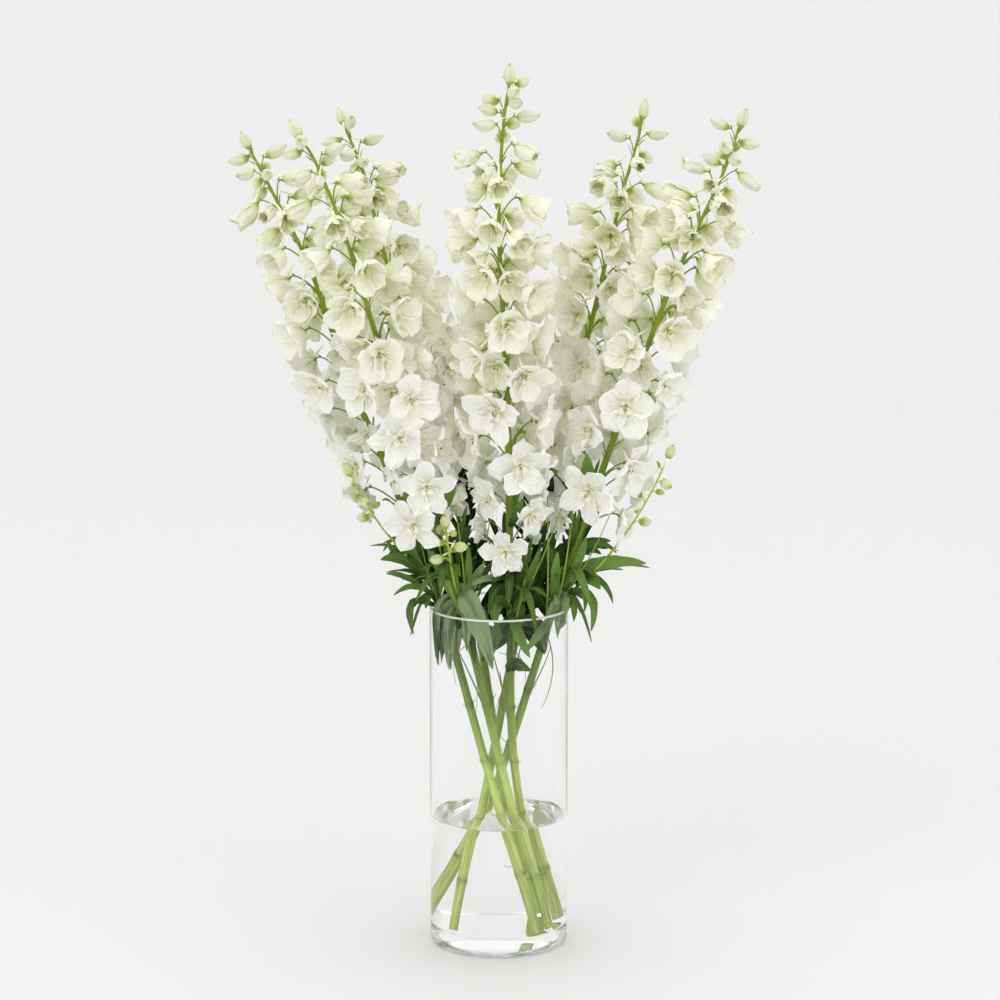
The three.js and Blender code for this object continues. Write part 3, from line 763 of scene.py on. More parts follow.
def petal_material(settings):
    """White petal skin: yellow-green where the mesh says so, with fine veins along each sepal. At
    its foot the inside has painted shade, beige, or a painted yellow-green glow where it is still
    cream, and the outside is green."""
    shader = Shader("petal_material", Roughness=0.7, Specular_IOR_Level=0.25, Subsurface_Weight=0.5,
                    Subsurface_Scale=0.0015, Subsurface_Radius=(1.0, 1.0, 1.0))
    words = ("across", "along", "ripe", "cream", "throat", "front")
    across, along, ripe, cream, throat, front = map(shader.number, words)
    wander = shader.times(shader.noise(shader.place(), scale=180), 3.0)
    vein = shader.ridges(shader.maths("MULTIPLY_ADD", across, 17.0, wander), power=4.0)
    skin = shader.mixed(cream, settings.white, settings.cream)
    # Painted shade deep in the cup, on the inside only: beige in an open floret and a painted
    # yellow-green glow in a bell. The same bell curve puts the green on the outside.
    deep = shader.mixed(shader.ramp(cream, 0.2, 0.7), settings.throat, settings.glow)
    lined = shader.mixed(shader.times(throat, front), skin, deep)
    outside = shader.times(throat, shader.ramp(front, 0.0, 1.0, 0.55, 0.0))
    backed = shader.mixed(outside, lined, settings.pale_green)
    green = shader.mixed(shader.ramp(ripe, 0.35, 0.9), settings.pale_green, settings.green)
    base = shader.mixed(shader.ramp(ripe, 0.05, 0.55), backed, green)
    veined = shader.mixed(shader.times(vein, shader.number("veins")), base, settings.vein)
    crinkle = shader.noise(shader.place(), scale=420, detail=4.0)
    fade = shader.times(vein, shader.ramp(along, 0.0, 0.9, 1.0, 0.3))
    relief = shader.maths("MULTIPLY_ADD", crinkle, 1.6, fade)
    shader.bump(relief, distance=0.001, strength=0.5)
    return shader.colour(veined)


def bee_material(settings):
    """The soft cream petals in the middle of a flower, with gold fluff towards their ends."""
    shader = Shader("bee_material", Roughness=0.6, Subsurface_Weight=0.2, Subsurface_Scale=0.001,
                    Sheen_Weight=0.3)
    fluff = shader.noise(shader.place(), scale=1800, detail=4.0)
    shader.bump(fluff, distance=0.0004, strength=0.6)
    gold = shader.times(shader.ramp(fluff, 0.5, 0.8), shader.number("along"))
    return shader.colour(shader.mixed(gold, settings.middle, settings.gold))


def anther_material(settings):
    """Small dark anthers, dusted with pollen."""
    shader = Shader("anther_material", Roughness=0.7)
    dust = shader.ramp(shader.noise(shader.place(), scale=2600, detail=3.0), 0.45, 0.7)
    return shader.colour(shader.mixed(dust, settings.anther, settings.gold))


def stem_material(settings):
    """Green plant skin: pale in the water and fresher among the florets, with dark streaks along
    the stem and lighter patches. The mesh says what is young and what is a dried scar."""
    shader = Shader("stem_material", Roughness=0.5, Specular_IOR_Level=0.2, Subsurface_Weight=0.1,
                    Subsurface_Scale=0.001)
    place = shader.place()
    height = shader.node("SeparateXYZ", {0: place}).outputs[2]
    own = shader.node("CombineXYZ", enumerate(map(shader.number, ("aside", "behind", "run"))))
    stretched = shader.node("Mapping", {"Vector": own.outputs[0], "Scale": (420, 420, 20)})
    streak = shader.noise(stretched.outputs[0], scale=1.0, detail=3.0)
    patch = shader.noise(place, scale=45)
    dry = shader.mixed(shader.ramp(height, 0.1, 0.24), settings.wet, settings.lower)
    body = shader.mixed(shader.ramp(height, 0.25, 0.42), dry, settings.upper)
    streaked = shader.mixed(shader.ramp(streak, 0.35, 0.7, 0.0, 0.42), body, settings.shade)
    patched = shader.mixed(shader.ramp(patch, 0.5, 0.8, 0.0, 0.35), streaked, settings.upper)
    fresh = shader.mixed(shader.number("young"), patched, settings.young)
    scarred = shader.mixed(shader.number("scar"), fresh, settings.scar)
    shader.bump(streak, distance=0.0003, strength=0.5)
    return shader.colour(scarred)


def leaf_material(settings):
    """Leaf skin: a pale rib down the middle, side veins that slant from it, and a mottled green
    whose tone carries painted light and shade as well. Veins run along the dull underside, and the
    valleys of a pleated blade carry painted shade."""
    shader = Shader("leaf_material", Roughness=0.6, Specular_IOR_Level=0.1, Subsurface_Weight=0.08,
                    Subsurface_Scale=0.001)
    words = ("across", "along", "tone", "pale", "valley")
    across, along, tone, pale, valley = map(shader.number, words)
    wide = shader.maths("ABSOLUTE", across)
    rib = shader.ramp(wide, 0.03, 0.13, 1.0, 0.0)
    slant = shader.maths("MULTIPLY_ADD", along, 46.0, shader.times(wide, -9.0))
    side = shader.ridges(slant, power=6.0)
    mottle = shader.noise(shader.place(), scale=160, detail=3.0)
    # The tone is a random tone plus painted light on the leaves that reach to the front or aside
    # and painted shade deep in the bunch; its dark end is painted shade as well as dark green.
    light = shader.maths("MULTIPLY_ADD", tone, 1.2, -0.3)
    mottled = shader.maths("MULTIPLY_ADD", mottle, 0.35, light)
    body = shader.mixed(mottled, settings.dark, settings.fresh)
    turned = shader.mixed(pale, body, settings.underside)
    waves = shader.maths("ABSOLUTE", shader.maths("SINE", shader.times(across, 9.0)))
    fan = shader.times(shader.maths("POWER", waves, 12.0), shader.times(pale, 0.45))
    fanned = shader.mixed(fan, turned, settings.rib)
    # Painted shade in the valleys of the pleats.
    folded = shader.mixed(valley, fanned, settings.dark)
    veined = shader.mixed(shader.times(side, 0.16), folded, settings.rib)
    ribbed = shader.mixed(shader.times(rib, 0.5), veined, settings.rib)
    relief = shader.maths("ADD", shader.times(side, -0.5), shader.times(rib, -1.0))
    shader.bump(relief, distance=0.0005, strength=0.5)
    return shader.colour(ribbed)


def hazy_material(name, scale, first, second, most=1.0, **sockets):
    """Glass or water that shades from one colour to another in wide soft patches."""
    shader = Shader(name, **sockets)
    haze = shader.noise(shader.place(), scale, detail=1.0)
    return shader.colour(shader.mixed(shader.ramp(haze, 0.3, 0.7, 0.0, most), first, second))


def glass_material(settings):
    """Clear glass. It bends the light less than real glass, so that its edges stay as pale."""
    return hazy_material("glass_material", 6.0, settings.colour, settings.tint,
                         Roughness=0.0, Transmission_Weight=1.0, IOR=1.2)


def rim_material(settings):
    """The melted edge of the glass, made whitish as a painted highlight where it gathers the light.
    """
    return hazy_material("rim_material", 60.0, settings.colour, settings.rim,
                         Roughness=0.12, Transmission_Weight=0.35, IOR=1.5)


def foot_material(settings):
    """The rounded heel of the glass, painted grey as a painted reflection of the dark lines in a
    thick heel.
    """
    return hazy_material("foot_material", 60.0, settings.foot, settings.tint, 0.5,
                         Roughness=0.04, Transmission_Weight=0.5, IOR=1.4)


def water_material(settings):
    """Still clear water."""
    return hazy_material("water_material", 8.0, settings.colour, settings.tint,
                         Roughness=0.0, Transmission_Weight=1.0, IOR=1.333)


# ---- Florets ----

WRAP = math.radians(60)
PLEATS = 3
# A sepal's numbers in a cup, and what a wide open flower adds to each: how far the lip's angle
# strays, by how many degrees the end turns back and how far that strays, the shares of the waves
# and the pleats, how cupped the sepal is, and the height of its crinkles.
SEPAL = {"lip": (11, 5), "flare": (26, -14), "flare_strays": (0.15, 0.3), "ruffle": (0.6, 0.6),
         "pleat": (0.35, 0.65), "cup": (0.16, -0.1), "crinkle": (0.65, 0.3)}
# The same in a closed bud, with a sepal's width over its length and where its end starts to turn.
BUD = {"flare": 0.7, "cup": 0.12, "width": 0.33, "turns": 0.78, "waves": 0.15, "pleats": 0.2}
CRINKLED_OUTLINE = 0.17
# The rows and columns of a sepal's grid, in the outer and in the inner florets.
OUTER_GRID, INNER_GRID = (9, 7), (8, 5)


def sepal_colours(u, v, share, starry, spread):
    """The numbers that colour a sepal, by its place along and across. Bell curves mark its foot,
    green partly as its own colour and partly as painted yellow-green shade, the painted shade and
    the painted yellow-green glow deep in its cup, and its tip, and the younger flowers, higher up,
    are greener and creamier."""
    young = np.clip((share - 0.25) / 0.75, 0, 1)
    foot = np.exp(-((u / (0.16 + 0.1 * young)) ** 2))
    tip = np.exp(-(((1 - u) / 0.1) ** 2) - (v / 0.4) ** 2)
    # A painted yellow-green glow deep in a half-open floret, added to its green share.
    glow = np.exp(-((u / 0.5) ** 2)) * np.sin(math.pi * np.clip(young * 1.15, 0, 1))
    # The foot's green is partly the sepal's own and partly painted yellow-green shade.
    ripe = (0.75 * young + 0.2) * foot + 0.14 * glow + 0.27 * young**3 + tip * (0.2 + 0.7 * young)
    ripe = ripe + spread(0.05) * young
    cream = 0.1 + 0.65 * young + spread(0.2) + 0.5 * foot
    # Painted shade deep in the cup, wider and stronger in the younger flowers.
    throat = np.exp(-((u / (0.33 + 0.25 * young)) ** 2)) * (0.72 + 0.2 * young)
    veins = 0.07 + 0.5 * young * (1 - u) ** 1.3 + 0.08 * starry
    return {"along": u, "across": v, "ripe": np.clip(ripe, 0, 1), "cream": np.clip(cream, 0, 1),
            "veins": veins, "throat": throat}


def sepal_grids(flowers, seeds, settings, rows, columns):
    """Five sepals of each flower, as grids of points and the numbers that colour them.

    Along its middle a sepal turns from its base angle to its lip angle, with a little flare at the
    end, and its distance from the flower's axis and its depth are the running sums of the sine and
    the cosine of that angle. Its half width is a power of the place along times a power of what is
    left to the tip, and it wraps round the flower's axis by its width over its distance. Along its
    normal it is cupped by the square of the place across, pleated by the cosine of that place,
    waved and curled at its edges, crinkled by a random number at each corner, and tilted so that
    each left edge lies under its neighbour's right one. A starry flower has narrow sepals, widest
    further out.
    """
    count = len(flowers["petal"])
    shape = (count, SEPALS, 1, 1)
    u = (1 - (1 - np.linspace(0.02, 1, rows)) ** 1.35)[None, None, :, None]
    v = np.linspace(-1, 1, columns)[None, None, None, :]

    def spread(amount):
        """A random number for each sepal, up to an amount to both sides of 0."""
        return seeds.uniform(-amount, amount, shape)

    def by_flower(word):
        """A number or a direction of each flower, for all the points of its sepals."""
        return flowers[word][:, None, None, None]

    def opened(word):
        """One of the sepal's numbers, which changes as the flower opens wide."""
        cup, more = SEPAL[word]
        return cup + more * open_wide

    share, petal, lip_angle = by_flower("share"), by_flower("petal"), by_flower("lip")
    starry = seeds.uniform(0, 1, (count, 1, 1, 1)) ** 2
    starry = np.where(share < 0.12, np.maximum(starry, 0.8), starry)
    closed = lip_angle < BUD_LIP
    is_open = 1 - closed
    open_wide = np.where(closed, 0, np.clip((lip_angle - 5) / 50, 0, 1))
    starry = starry * open_wide
    lip = np.radians(lip_angle + np.where(closed, 0, spread(opened("lip"))))
    base = np.radians(by_flower("base"))
    strays = spread(opened("flare_strays"))
    flare = np.where(closed, BUD["flare"], np.radians(opened("flare")) + strays)
    start = np.where(closed, BUD["turns"], 0.66)
    turned_back = flare * np.clip((u - start) / (1 - start), 0, 1) ** 2
    angle = base + (lip - base) * u ** np.where(closed, 1.0, 0.85) + turned_back
    length = petal * (1 + 0.04 * open_wide + spread(0.09) * is_open)
    steps = np.diff(u, axis=2, prepend=0) * length
    steps[:, :, -1] += 1.1 * open_wide[:, :, 0]
    middle = np.concatenate([angle[:, :, :1], (angle[:, :, 1:] + angle[:, :, :-1]) / 2], 2)
    radius = np.cumsum(np.sin(middle) * steps, axis=2)
    depth = np.cumsum(np.cos(middle) * steps, axis=2) * by_flower("stretch")

    widest = np.where(closed, BUD["width"], 0.61 - 0.17 * starry + spread(0.04)) * petal
    early, late = 0.62 + 0.3 * starry, 0.46 + 0.3 * starry
    peak = (early / (early + late)) ** early * (late / (early + late)) ** late
    phase = np.where(v > 0, spread(math.pi), spread(math.pi))
    waves = np.sin(2 * math.pi * (2.3 + spread(0.6)) * u + phase)
    scallop = 1 + 0.13 * is_open * waves * u
    half = np.maximum(widest * scallop * u**early * (1 - u) ** late / peak, 0.25)
    wrap = WRAP * np.tanh(half / (np.maximum(radius, 0.3) * WRAP))
    turn = round_angles(SEPALS)[None, :, None, None] + spread(0.06) * is_open
    edge = np.abs(v) ** 2.5
    bud_waves = np.where(closed, BUD["waves"], 1)
    crinkle = seeds.uniform(-1, 1, (count, SEPALS, rows, columns)) * bud_waves
    theta = turn + v * wrap * (1 + CRINKLED_OUTLINE * crinkle * edge * u)
    theta = theta + spread(0.16 * open_wide) * u

    ruffle = settings.ruffle / MM * opened("ruffle") * bud_waves
    pleat = settings.pleat / MM * (opened("pleat") + spread(0.3))
    pleat = pleat * np.where(closed, BUD["pleats"], 1)
    bulge = np.sin(math.pi * u)
    cup = np.where(closed, BUD["cup"], opened("cup") + spread(0.12))
    lift = (half * v**2 * cup * bulge
            - pleat * np.cos(PLEATS * math.pi * v) * np.sqrt(u) * (1 - 0.7 * u**4)
            + ruffle * np.cos(2 * math.pi * (1.9 + spread(0.5)) * u + phase) * edge * np.sqrt(u)
            - spread(2.2 * open_wide) * edge * u**2
            + spread(0.26) * half * v * bulge * is_open
            + opened("crinkle") * crinkle * (0.35 + 0.65 * edge) * np.sqrt(u)
            + v * 0.55 * np.where(closed, 0.5, 1) * bulge)
    radial = (by_flower("side") * np.sin(theta)[..., None]
              + by_flower("up") * np.cos(theta)[..., None])
    grids = (by_flower("root") + radial * (radius - lift * np.cos(angle))[..., None]
             + by_flower("facing") * (depth + lift * np.sin(angle))[..., None])

    wanted = (count * SEPALS, rows, columns)
    return grids.reshape(*wanted, 3), {
        word: np.broadcast_to(value, (count, SEPALS, rows, columns)).reshape(wanted)
        for word, value in sepal_colours(u, v, share, starry, spread).items()}


def in_flower(flowers, places):
    """Places given beside, above and before a flower's root, in the frame's own directions."""
    axes = np.stack([flowers["side"], flowers["up"], flowers["facing"]], 1)
    spots = np.einsum("f...k,fkx->f...x", places, axes)
    return spots + flowers["root"].reshape(-1, *(1,) * (spots.ndim - 2), 3)


# The four small petals in a flower's middle: the start and the end beside, above and before the
# root, the half width, and the grid's rows and columns.
BEE = {
    "start": [(-1.3, 1.8, 2.4), (1.3, 1.8, 2.4), (-1.5, -1.2, 2.2), (1.5, -1.2, 2.2)],
    "end": [(-2.6, 5.4, 10.4), (2.6, 5.4, 10.4), (-4.4, -4.6, 8.6), (4.4, -4.6, 8.6)],
    "half": [2.3, 2.3, 3.0, 3.0], "rows": 5, "columns": 3, "size": 0.92, "thickness": 0.3,
}


def bee_grids(flowers, seeds):
    """The four small petals in each flower's middle: narrow at the foot, notched at the end and
    hooded, so that they bend over as the square of the place along."""
    start, end = (np.array(BEE[word])[None, :, None, None] for word in ("start", "end"))
    half = np.array(BEE["half"])[None, :, None, None, None]
    count, each = len(flowers["petal"]), len(BEE["half"])
    u = np.linspace(0, 1, BEE["rows"])[None, None, :, None, None]
    v = np.linspace(-1, 1, BEE["columns"])[None, None, None, :, None]
    end = end + seeds.uniform(-0.5, 0.5, (count, each, 1, 1, 3))
    outward = unit(start * np.array([1, 1, 0]))
    sideways = np.cross(UP, outward)
    wide = half * np.sin(np.pi * (0.12 + 0.72 * u)) * (0.55 + 0.6 * u)
    notch = -1.1 * u**3 * (1 - np.abs(v))
    line = start + (end - start) * u + UP * (notch - 1.6 * u**3)
    local = line + sideways * v * wide + outward * (u**2 * 1.4 - 0.5 * v**2 * wide * u)
    local = local * (flowers["petal"] / FULL_PETAL * BEE["size"])[:, None, None, None, None]
    grids = in_flower(flowers, local)
    along = np.broadcast_to(u[..., 0], grids.shape[:-1])
    wanted = (count * each, BEE["rows"], BEE["columns"])
    return grids.reshape(*wanted, 3), along.reshape(wanted)


# The anthers and the hairs in a flower's middle: how many, the corners of the box in which they
# start, how they lean apart, their radius at each ring, and their material with its numbers.
MIDDLES = [
    {"each": 5, "low": (-2.0, -2.6, 4.0), "high": (2.0, 0.6, 6.5), "length": 1.4, "lean": 0.12,
     "radii": [0.25, 0.65, 0.25], "sides": 4, "material": 2, "numbers": {}},
    {"each": 12, "low": (-4.2, -4.8, 6.4), "high": (4.2, -2.0, 8.4), "length": 2.2, "lean": 0.35,
     "radii": [0.16, 0.05], "sides": 3, "material": 1, "numbers": {"along": 1.0}},
]


def add_bars(work, flowers, seeds, bar):
    """Adds thin bars that start in a box in each flower and lean away from its axis."""
    shape = (len(flowers["petal"]), bar["each"])
    foot = seeds.uniform(bar["low"], bar["high"], (*shape, 3))
    way = unit(foot * np.array([bar["lean"], bar["lean"], 0]) + UP)
    along = way * bar["length"] * seeds.uniform(0.7, 1.2, (*shape, 1))
    rings = len(bar["radii"])
    line = foot[:, :, None] + along[:, :, None] * np.linspace(0, 1, rings)[:, None]
    centres = in_flower(flowers, line).reshape(-1, rings, 3)
    radii = np.tile(bar["radii"], (len(centres), 1))
    beside = flowers["side"].repeat(bar["each"], 0)
    work.tubes(centres, radii, beside, bar["sides"], bar["material"], **bar["numbers"])


def add_florets(work, flowers, seeds, settings, rows, columns):
    """Adds the sepals and the spur of every flower, and the middles of those that are open."""
    grids, numbers = sepal_grids(flowers, seeds, settings, rows, columns)
    work.sheets(grids, settings.thickness / MM, 0, **numbers)
    opened = flowers["lip"] > MIDDLE_LIP
    some = {word: value[opened] for word, value in flowers.items()}
    if opened.any():
        grids, along = bee_grids(some, seeds)
        work.sheets(grids, BEE["thickness"], 1, along=along)
        for bar in MIDDLES:
            add_bars(work, some, seeds, bar)
    add_spurs(work, flowers)


# A spur: its length as a share of the sepal's, its angle, how far above and before the root it
# starts, and how it curls.
SPUR = {"length": 0.55, "radius": 1.7, "lift": 24, "seat": 3.2, "depth": 1.2, "curl": 0.1,
        "rings": 8, "sides": 7}


def add_spurs(work, flowers):
    """The slim spur behind each flower: it leaves the back above the stalk, stands back and up, and
    narrows to its tip as the square root of what is left."""
    lift = math.radians(SPUR["lift"])
    t = np.linspace(0, 1, SPUR["rings"])
    length = SPUR["length"] * flowers["petal"] + SPUR["depth"]
    before = SPUR["depth"] - math.cos(lift) * length[:, None] * t
    above = SPUR["seat"] + math.sin(lift) * length[:, None] * (t - SPUR["curl"] * 4 * t * (1 - t))
    local = np.stack([np.zeros_like(before), above, before], -1)
    size = flowers["petal"][:, None] / FULL_PETAL
    radii = size * SPUR["radius"] * (0.12 + 0.88 * np.sqrt(1 - t)) * (1 - 0.35 * t)
    ripe = np.clip((flowers["share"][:, None] - 0.2) * 0.9, 0, 1) * (0.35 + 0.4 * t)
    work.tubes(in_flower(flowers, local), radii, flowers["side"], SPUR["sides"], 0,
               along=0.3, ripe=ripe, cream=0.5)


def make_florets(settings):
    """One piece of florets and buds for each spike."""
    materials = [shared(make, settings) for make in (petal_material, bee_material, anther_material)]
    for name, spike in SPIKES.items():
        seeds, work = np.random.default_rng(spike[2]), Patchwork()
        add_florets(work, stacked(flowers_of(name)), seeds, settings, *OUTER_GRID)
        add_florets(work, stacked(inner_flowers(name)), seeds, settings, *INNER_GRID)
        work.piece(f"{name}_florets", materials, "white_floret", [f"{name}_flower_head"])


# ---- Stems and stalks ----

# The nodes, where leaves grew: the lowest height and the gap between two, which both stray, and the
# half width of the swelling.
NODES = {"first": 58, "gap": 47, "wide": 2.6, "first_strays": 17, "gap_strays": 5}
# The ribs along a stem, and their height as a share of the radius.
RIBS = {"count": 5, "height": 0.025}


def node_heights(name):
    """The heights of the rings where leaves grew, from near the foot to the lowest floret."""
    lowest, _, seed, _ = SPIKES[name]
    start = NODES["first"] + seed % NODES["first_strays"]
    return np.arange(start, lowest, NODES["gap"] + seed % NODES["gap_strays"])


def stem_radius(name, share):
    """The stem's radius: a little less at the lowest floret than at the foot, then thinner in step
    with what is left of the flower head."""
    start = AXES[name].share_at(SPIKES[name][0])
    high = np.clip((share - start) / (1 - start), 0, 1)
    stout = STEM["radius"] * (1 - STEM["taper"] * np.clip(share / start, 0, 1))
    return STEM["tip"] + (stout - STEM["tip"]) * (1 - high)


def make_stems(settings):
    """One stem for each spike, from its cut end in the water to its tip, swollen at its nodes as a
    bell curve of the distance, with shallow ribs, and with a dried thread or two at each node."""
    material = shared(stem_material, settings)
    for name, (_, turn, seed, _) in SPIKES.items():
        axis, work = AXES[name], Patchwork()
        share = np.linspace(0, 1, round(axis.length / STEM["step"]))
        centres = axis.point(share)
        away = (centres[:, 2][:, None] - node_heights(name)[None]) / NODES["wide"]
        swell = np.exp(-(away**2)).sum(1)
        rib = 1 + RIBS["height"] * np.cos(round_angles(STEM["sides"]) * RIBS["count"] + turn)
        radii = (stem_radius(name, share) + settings.swell / MM * swell)[:, None] * rib
        beside = outwards(axis.heading(0.5), 0)[None]
        work.tubes(centres[None], radii[None], beside, STEM["sides"], scar=0.35 * swell[None])
        add_threads(work, name, np.random.default_rng(seed + SEEDS["stem"]))
        work.piece(f"{name}_stem", [material], "green_stem_and_leaf",
                   [f"{name}_leafy_stem", f"{name}_flower_head"])


# The dried threads at each node, and how far below the rim the highest stand.
THREAD = {"each": 2, "reach": 6.5, "radius": 0.4, "tip": 0.12, "below": 40, "rings": 7, "sides": 5}


def add_threads(work, name, seeds):
    """Dried leaf stubs: short curled bars that leave the stem at its nodes as a sine of the place
    along, and turn upwards as its square."""
    axis, t = AXES[name], np.linspace(0, 1, THREAD["rings"])[:, None]
    start = STEM["radius"] * 0.7
    lines, besides = [], []
    for height in node_heights(name):
        if height > VASE["height"] - THREAD["below"]:
            continue
        share = axis.share_at(height)
        point, heading = axis.point(share), axis.heading(share)
        for _ in range(THREAD["each"]):
            out = outwards(heading, seeds.uniform(0, 360))
            reach, climb = THREAD["reach"] * seeds.uniform(0.5, 1.1), seeds.uniform(-3, 4)
            outs = out * (start + reach * np.sin(t * 1.7))
            lines.append(point + outs + heading * (climb * t + 3 * t**2))
            besides.append(np.cross(out, heading))
    radii = np.linspace(THREAD["radius"], THREAD["tip"], THREAD["rings"])[None]
    work.tubes(np.array(lines), radii, np.array(besides), THREAD["sides"], scar=0.8)


# A flower's stalk: its radius, and that of the collar under the flower.
STALK = {"radius": 0.75, "collar": 1.8, "rings": 11, "sides": 6}
# The bracts: the one at a stalk's foot, and the two small ones further up.
BRACT = {"length": 8.0, "half": 0.9, "thickness": 0.35, "rows": 6, "columns": 3}
SMALL_BRACT = {"length": 3.2, "half": 0.45, "thickness": 0.3, "at": 0.7}


def stalk_lines(flowers):
    """The middle lines of the stalks: cubic curves that leave the stem steeply and hook over into
    the backs of the flowers."""
    foot, root, rise = flowers["foot"], flowers["root"], flowers["rise"][:, None]
    heading, facing = flowers["heading"], flowers["facing"]
    first = foot + heading * rise * 0.3 + (root - foot) * 0.34
    second = root - facing * np.minimum(rise * 0.3, 6) + heading * rise * 0.24
    end = root + facing * 0.5
    t = np.linspace(0, 1, STALK["rings"])[None, :, None]
    foot, first, second, end = (part[:, None] for part in (foot, first, second, end))
    left = 1 - t
    return foot * left**3 + first * 3 * t * left**2 + second * 3 * t**2 * left + end * t**3


def bract_grids(feet, ways, ups, length, half):
    """Small pointed bracts: the half width is the sine of the place along, and they bow outwards as
    its square."""
    t = np.linspace(0.02, 1, BRACT["rows"])[None, :, None, None]
    v = np.linspace(-1, 1, BRACT["columns"])[None, None, :, None]
    side = np.cross(ways, ups)
    feet, ways, ups, side = (part[:, None, None] for part in (feet, ways, ups, side))
    wide = half * np.sin(math.pi * t**0.7) + 0.06
    return feet + ups * length * t + ways * length * (0.35 * t + 0.35 * t**2) - side * v * wide


def add_stalks(work, flowers, bracts):
    """Adds the stalks, which widen to their collars as a high power of the place along, and, where
    wanted, a bract at the foot of each and two small ones further up."""
    lines = stalk_lines(flowers)
    size = np.clip(flowers["petal"] / FULL_PETAL, 0.4, 1)[:, None]
    t = np.linspace(0, 1, STALK["rings"])
    collar = (STALK["collar"] - STALK["radius"]) * t**9
    radii = size * (STALK["radius"] * (1 - 0.15 * t) + collar)
    work.tubes(lines, radii, flowers["side"], STALK["sides"], scar=0)
    if not bracts:
        return
    heading, out = flowers["heading"], flowers["out_way"]
    foot = flowers["foot"] + out * 1.5 - heading * 1.5
    length = BRACT["length"] * flowers["size"].mean()
    grids = bract_grids(foot, out, heading, length, BRACT["half"])
    work.sheets(grids, BRACT["thickness"], scar=0.1)
    middle = lines[:, int(STALK["rings"] * SMALL_BRACT["at"])]
    for turn in (-1, 1):
        way = unit(flowers["side"] * turn + out * 0.3)
        grids = bract_grids(middle, way, unit(heading + out * 0.3),
                            SMALL_BRACT["length"], SMALL_BRACT["half"])
        work.sheets(grids, SMALL_BRACT["thickness"], scar=0.1)


def make_stalks(settings):
    """One piece of flower stalks and bracts for each spike."""
    material = shared(stem_material, settings)
    for name in SPIKES:
        work = Patchwork()
        add_stalks(work, stacked(flowers_of(name)), bracts=True)
        add_stalks(work, stacked(inner_flowers(name)), bracts=False)
        work.piece(f"{name}_stalks", [material], "green_stem_and_leaf", [f"{name}_flower_head"])


# How much greener a shoot's buds are than those of a head, and its small ones.
SHOOT_GREEN = {"bud": 0.18, "small": 0.4}


def make_shoots(stems, florets):
    """The side shoots: a thin green twig that tapers evenly, with its stalks and green buds."""
    materials = [shared(petal_material, florets), shared(stem_material, stems)]
    for name in SPIKES:
        if name not in SHOOTS:
            continue
        twig, buds = shoot_flowers(name)
        flowers, work = stacked(buds), Patchwork()
        share = np.linspace(0, 1, SHOOT["rings"])
        line = twig.point(share)
        radii = SHOOT["radius"] * (1.15 - 0.6 * share)
        work.twig(line, radii, SHOOT["sides"], young=0.3 + 0.7 * share[None])
        radii = 0.55 + 0.7 * np.linspace(0, 1, STALK["rings"])[None] ** 9
        work.tubes(stalk_lines(flowers), radii, flowers["side"], STALK["sides"], 1, young=1)
        seeds = np.random.default_rng(SPIKES[name][2])
        grids, numbers = sepal_grids(flowers, seeds, florets, *OUTER_GRID)
        small = (flowers["size"] < 1).repeat(SEPALS)[:, None, None]
        more = np.where(small, SHOOT_GREEN["small"], SHOOT_GREEN["bud"])
        numbers["ripe"] = np.clip(numbers["ripe"] + more, 0, 1)
        work.sheets(grids, florets.thickness / MM, 0, **numbers)
        add_spurs(work, flowers)
        work.piece(f"{name}_side_shoot", materials, "green_stem_and_leaf", [f"{name}_leafy_stem"])


# ---- Leaves ----

LEAF_GRID = (16, 7)
# The lobes of a leaf: the place along the middle lobe where each starts, its angle, its length and
# its width as shares of the blade's and of the lobe's.
LOBES = np.array([
    (0.0, 0, 1.0, 1.0), (0.0, -1, 0.76, 1.0), (0.0, 1, 0.76, 1.0),
    (0.34, -0.6, 0.36, 0.42), (0.0, -1.5, 0.4, 0.6), (0.0, 1.5, 0.4, 0.6),
])


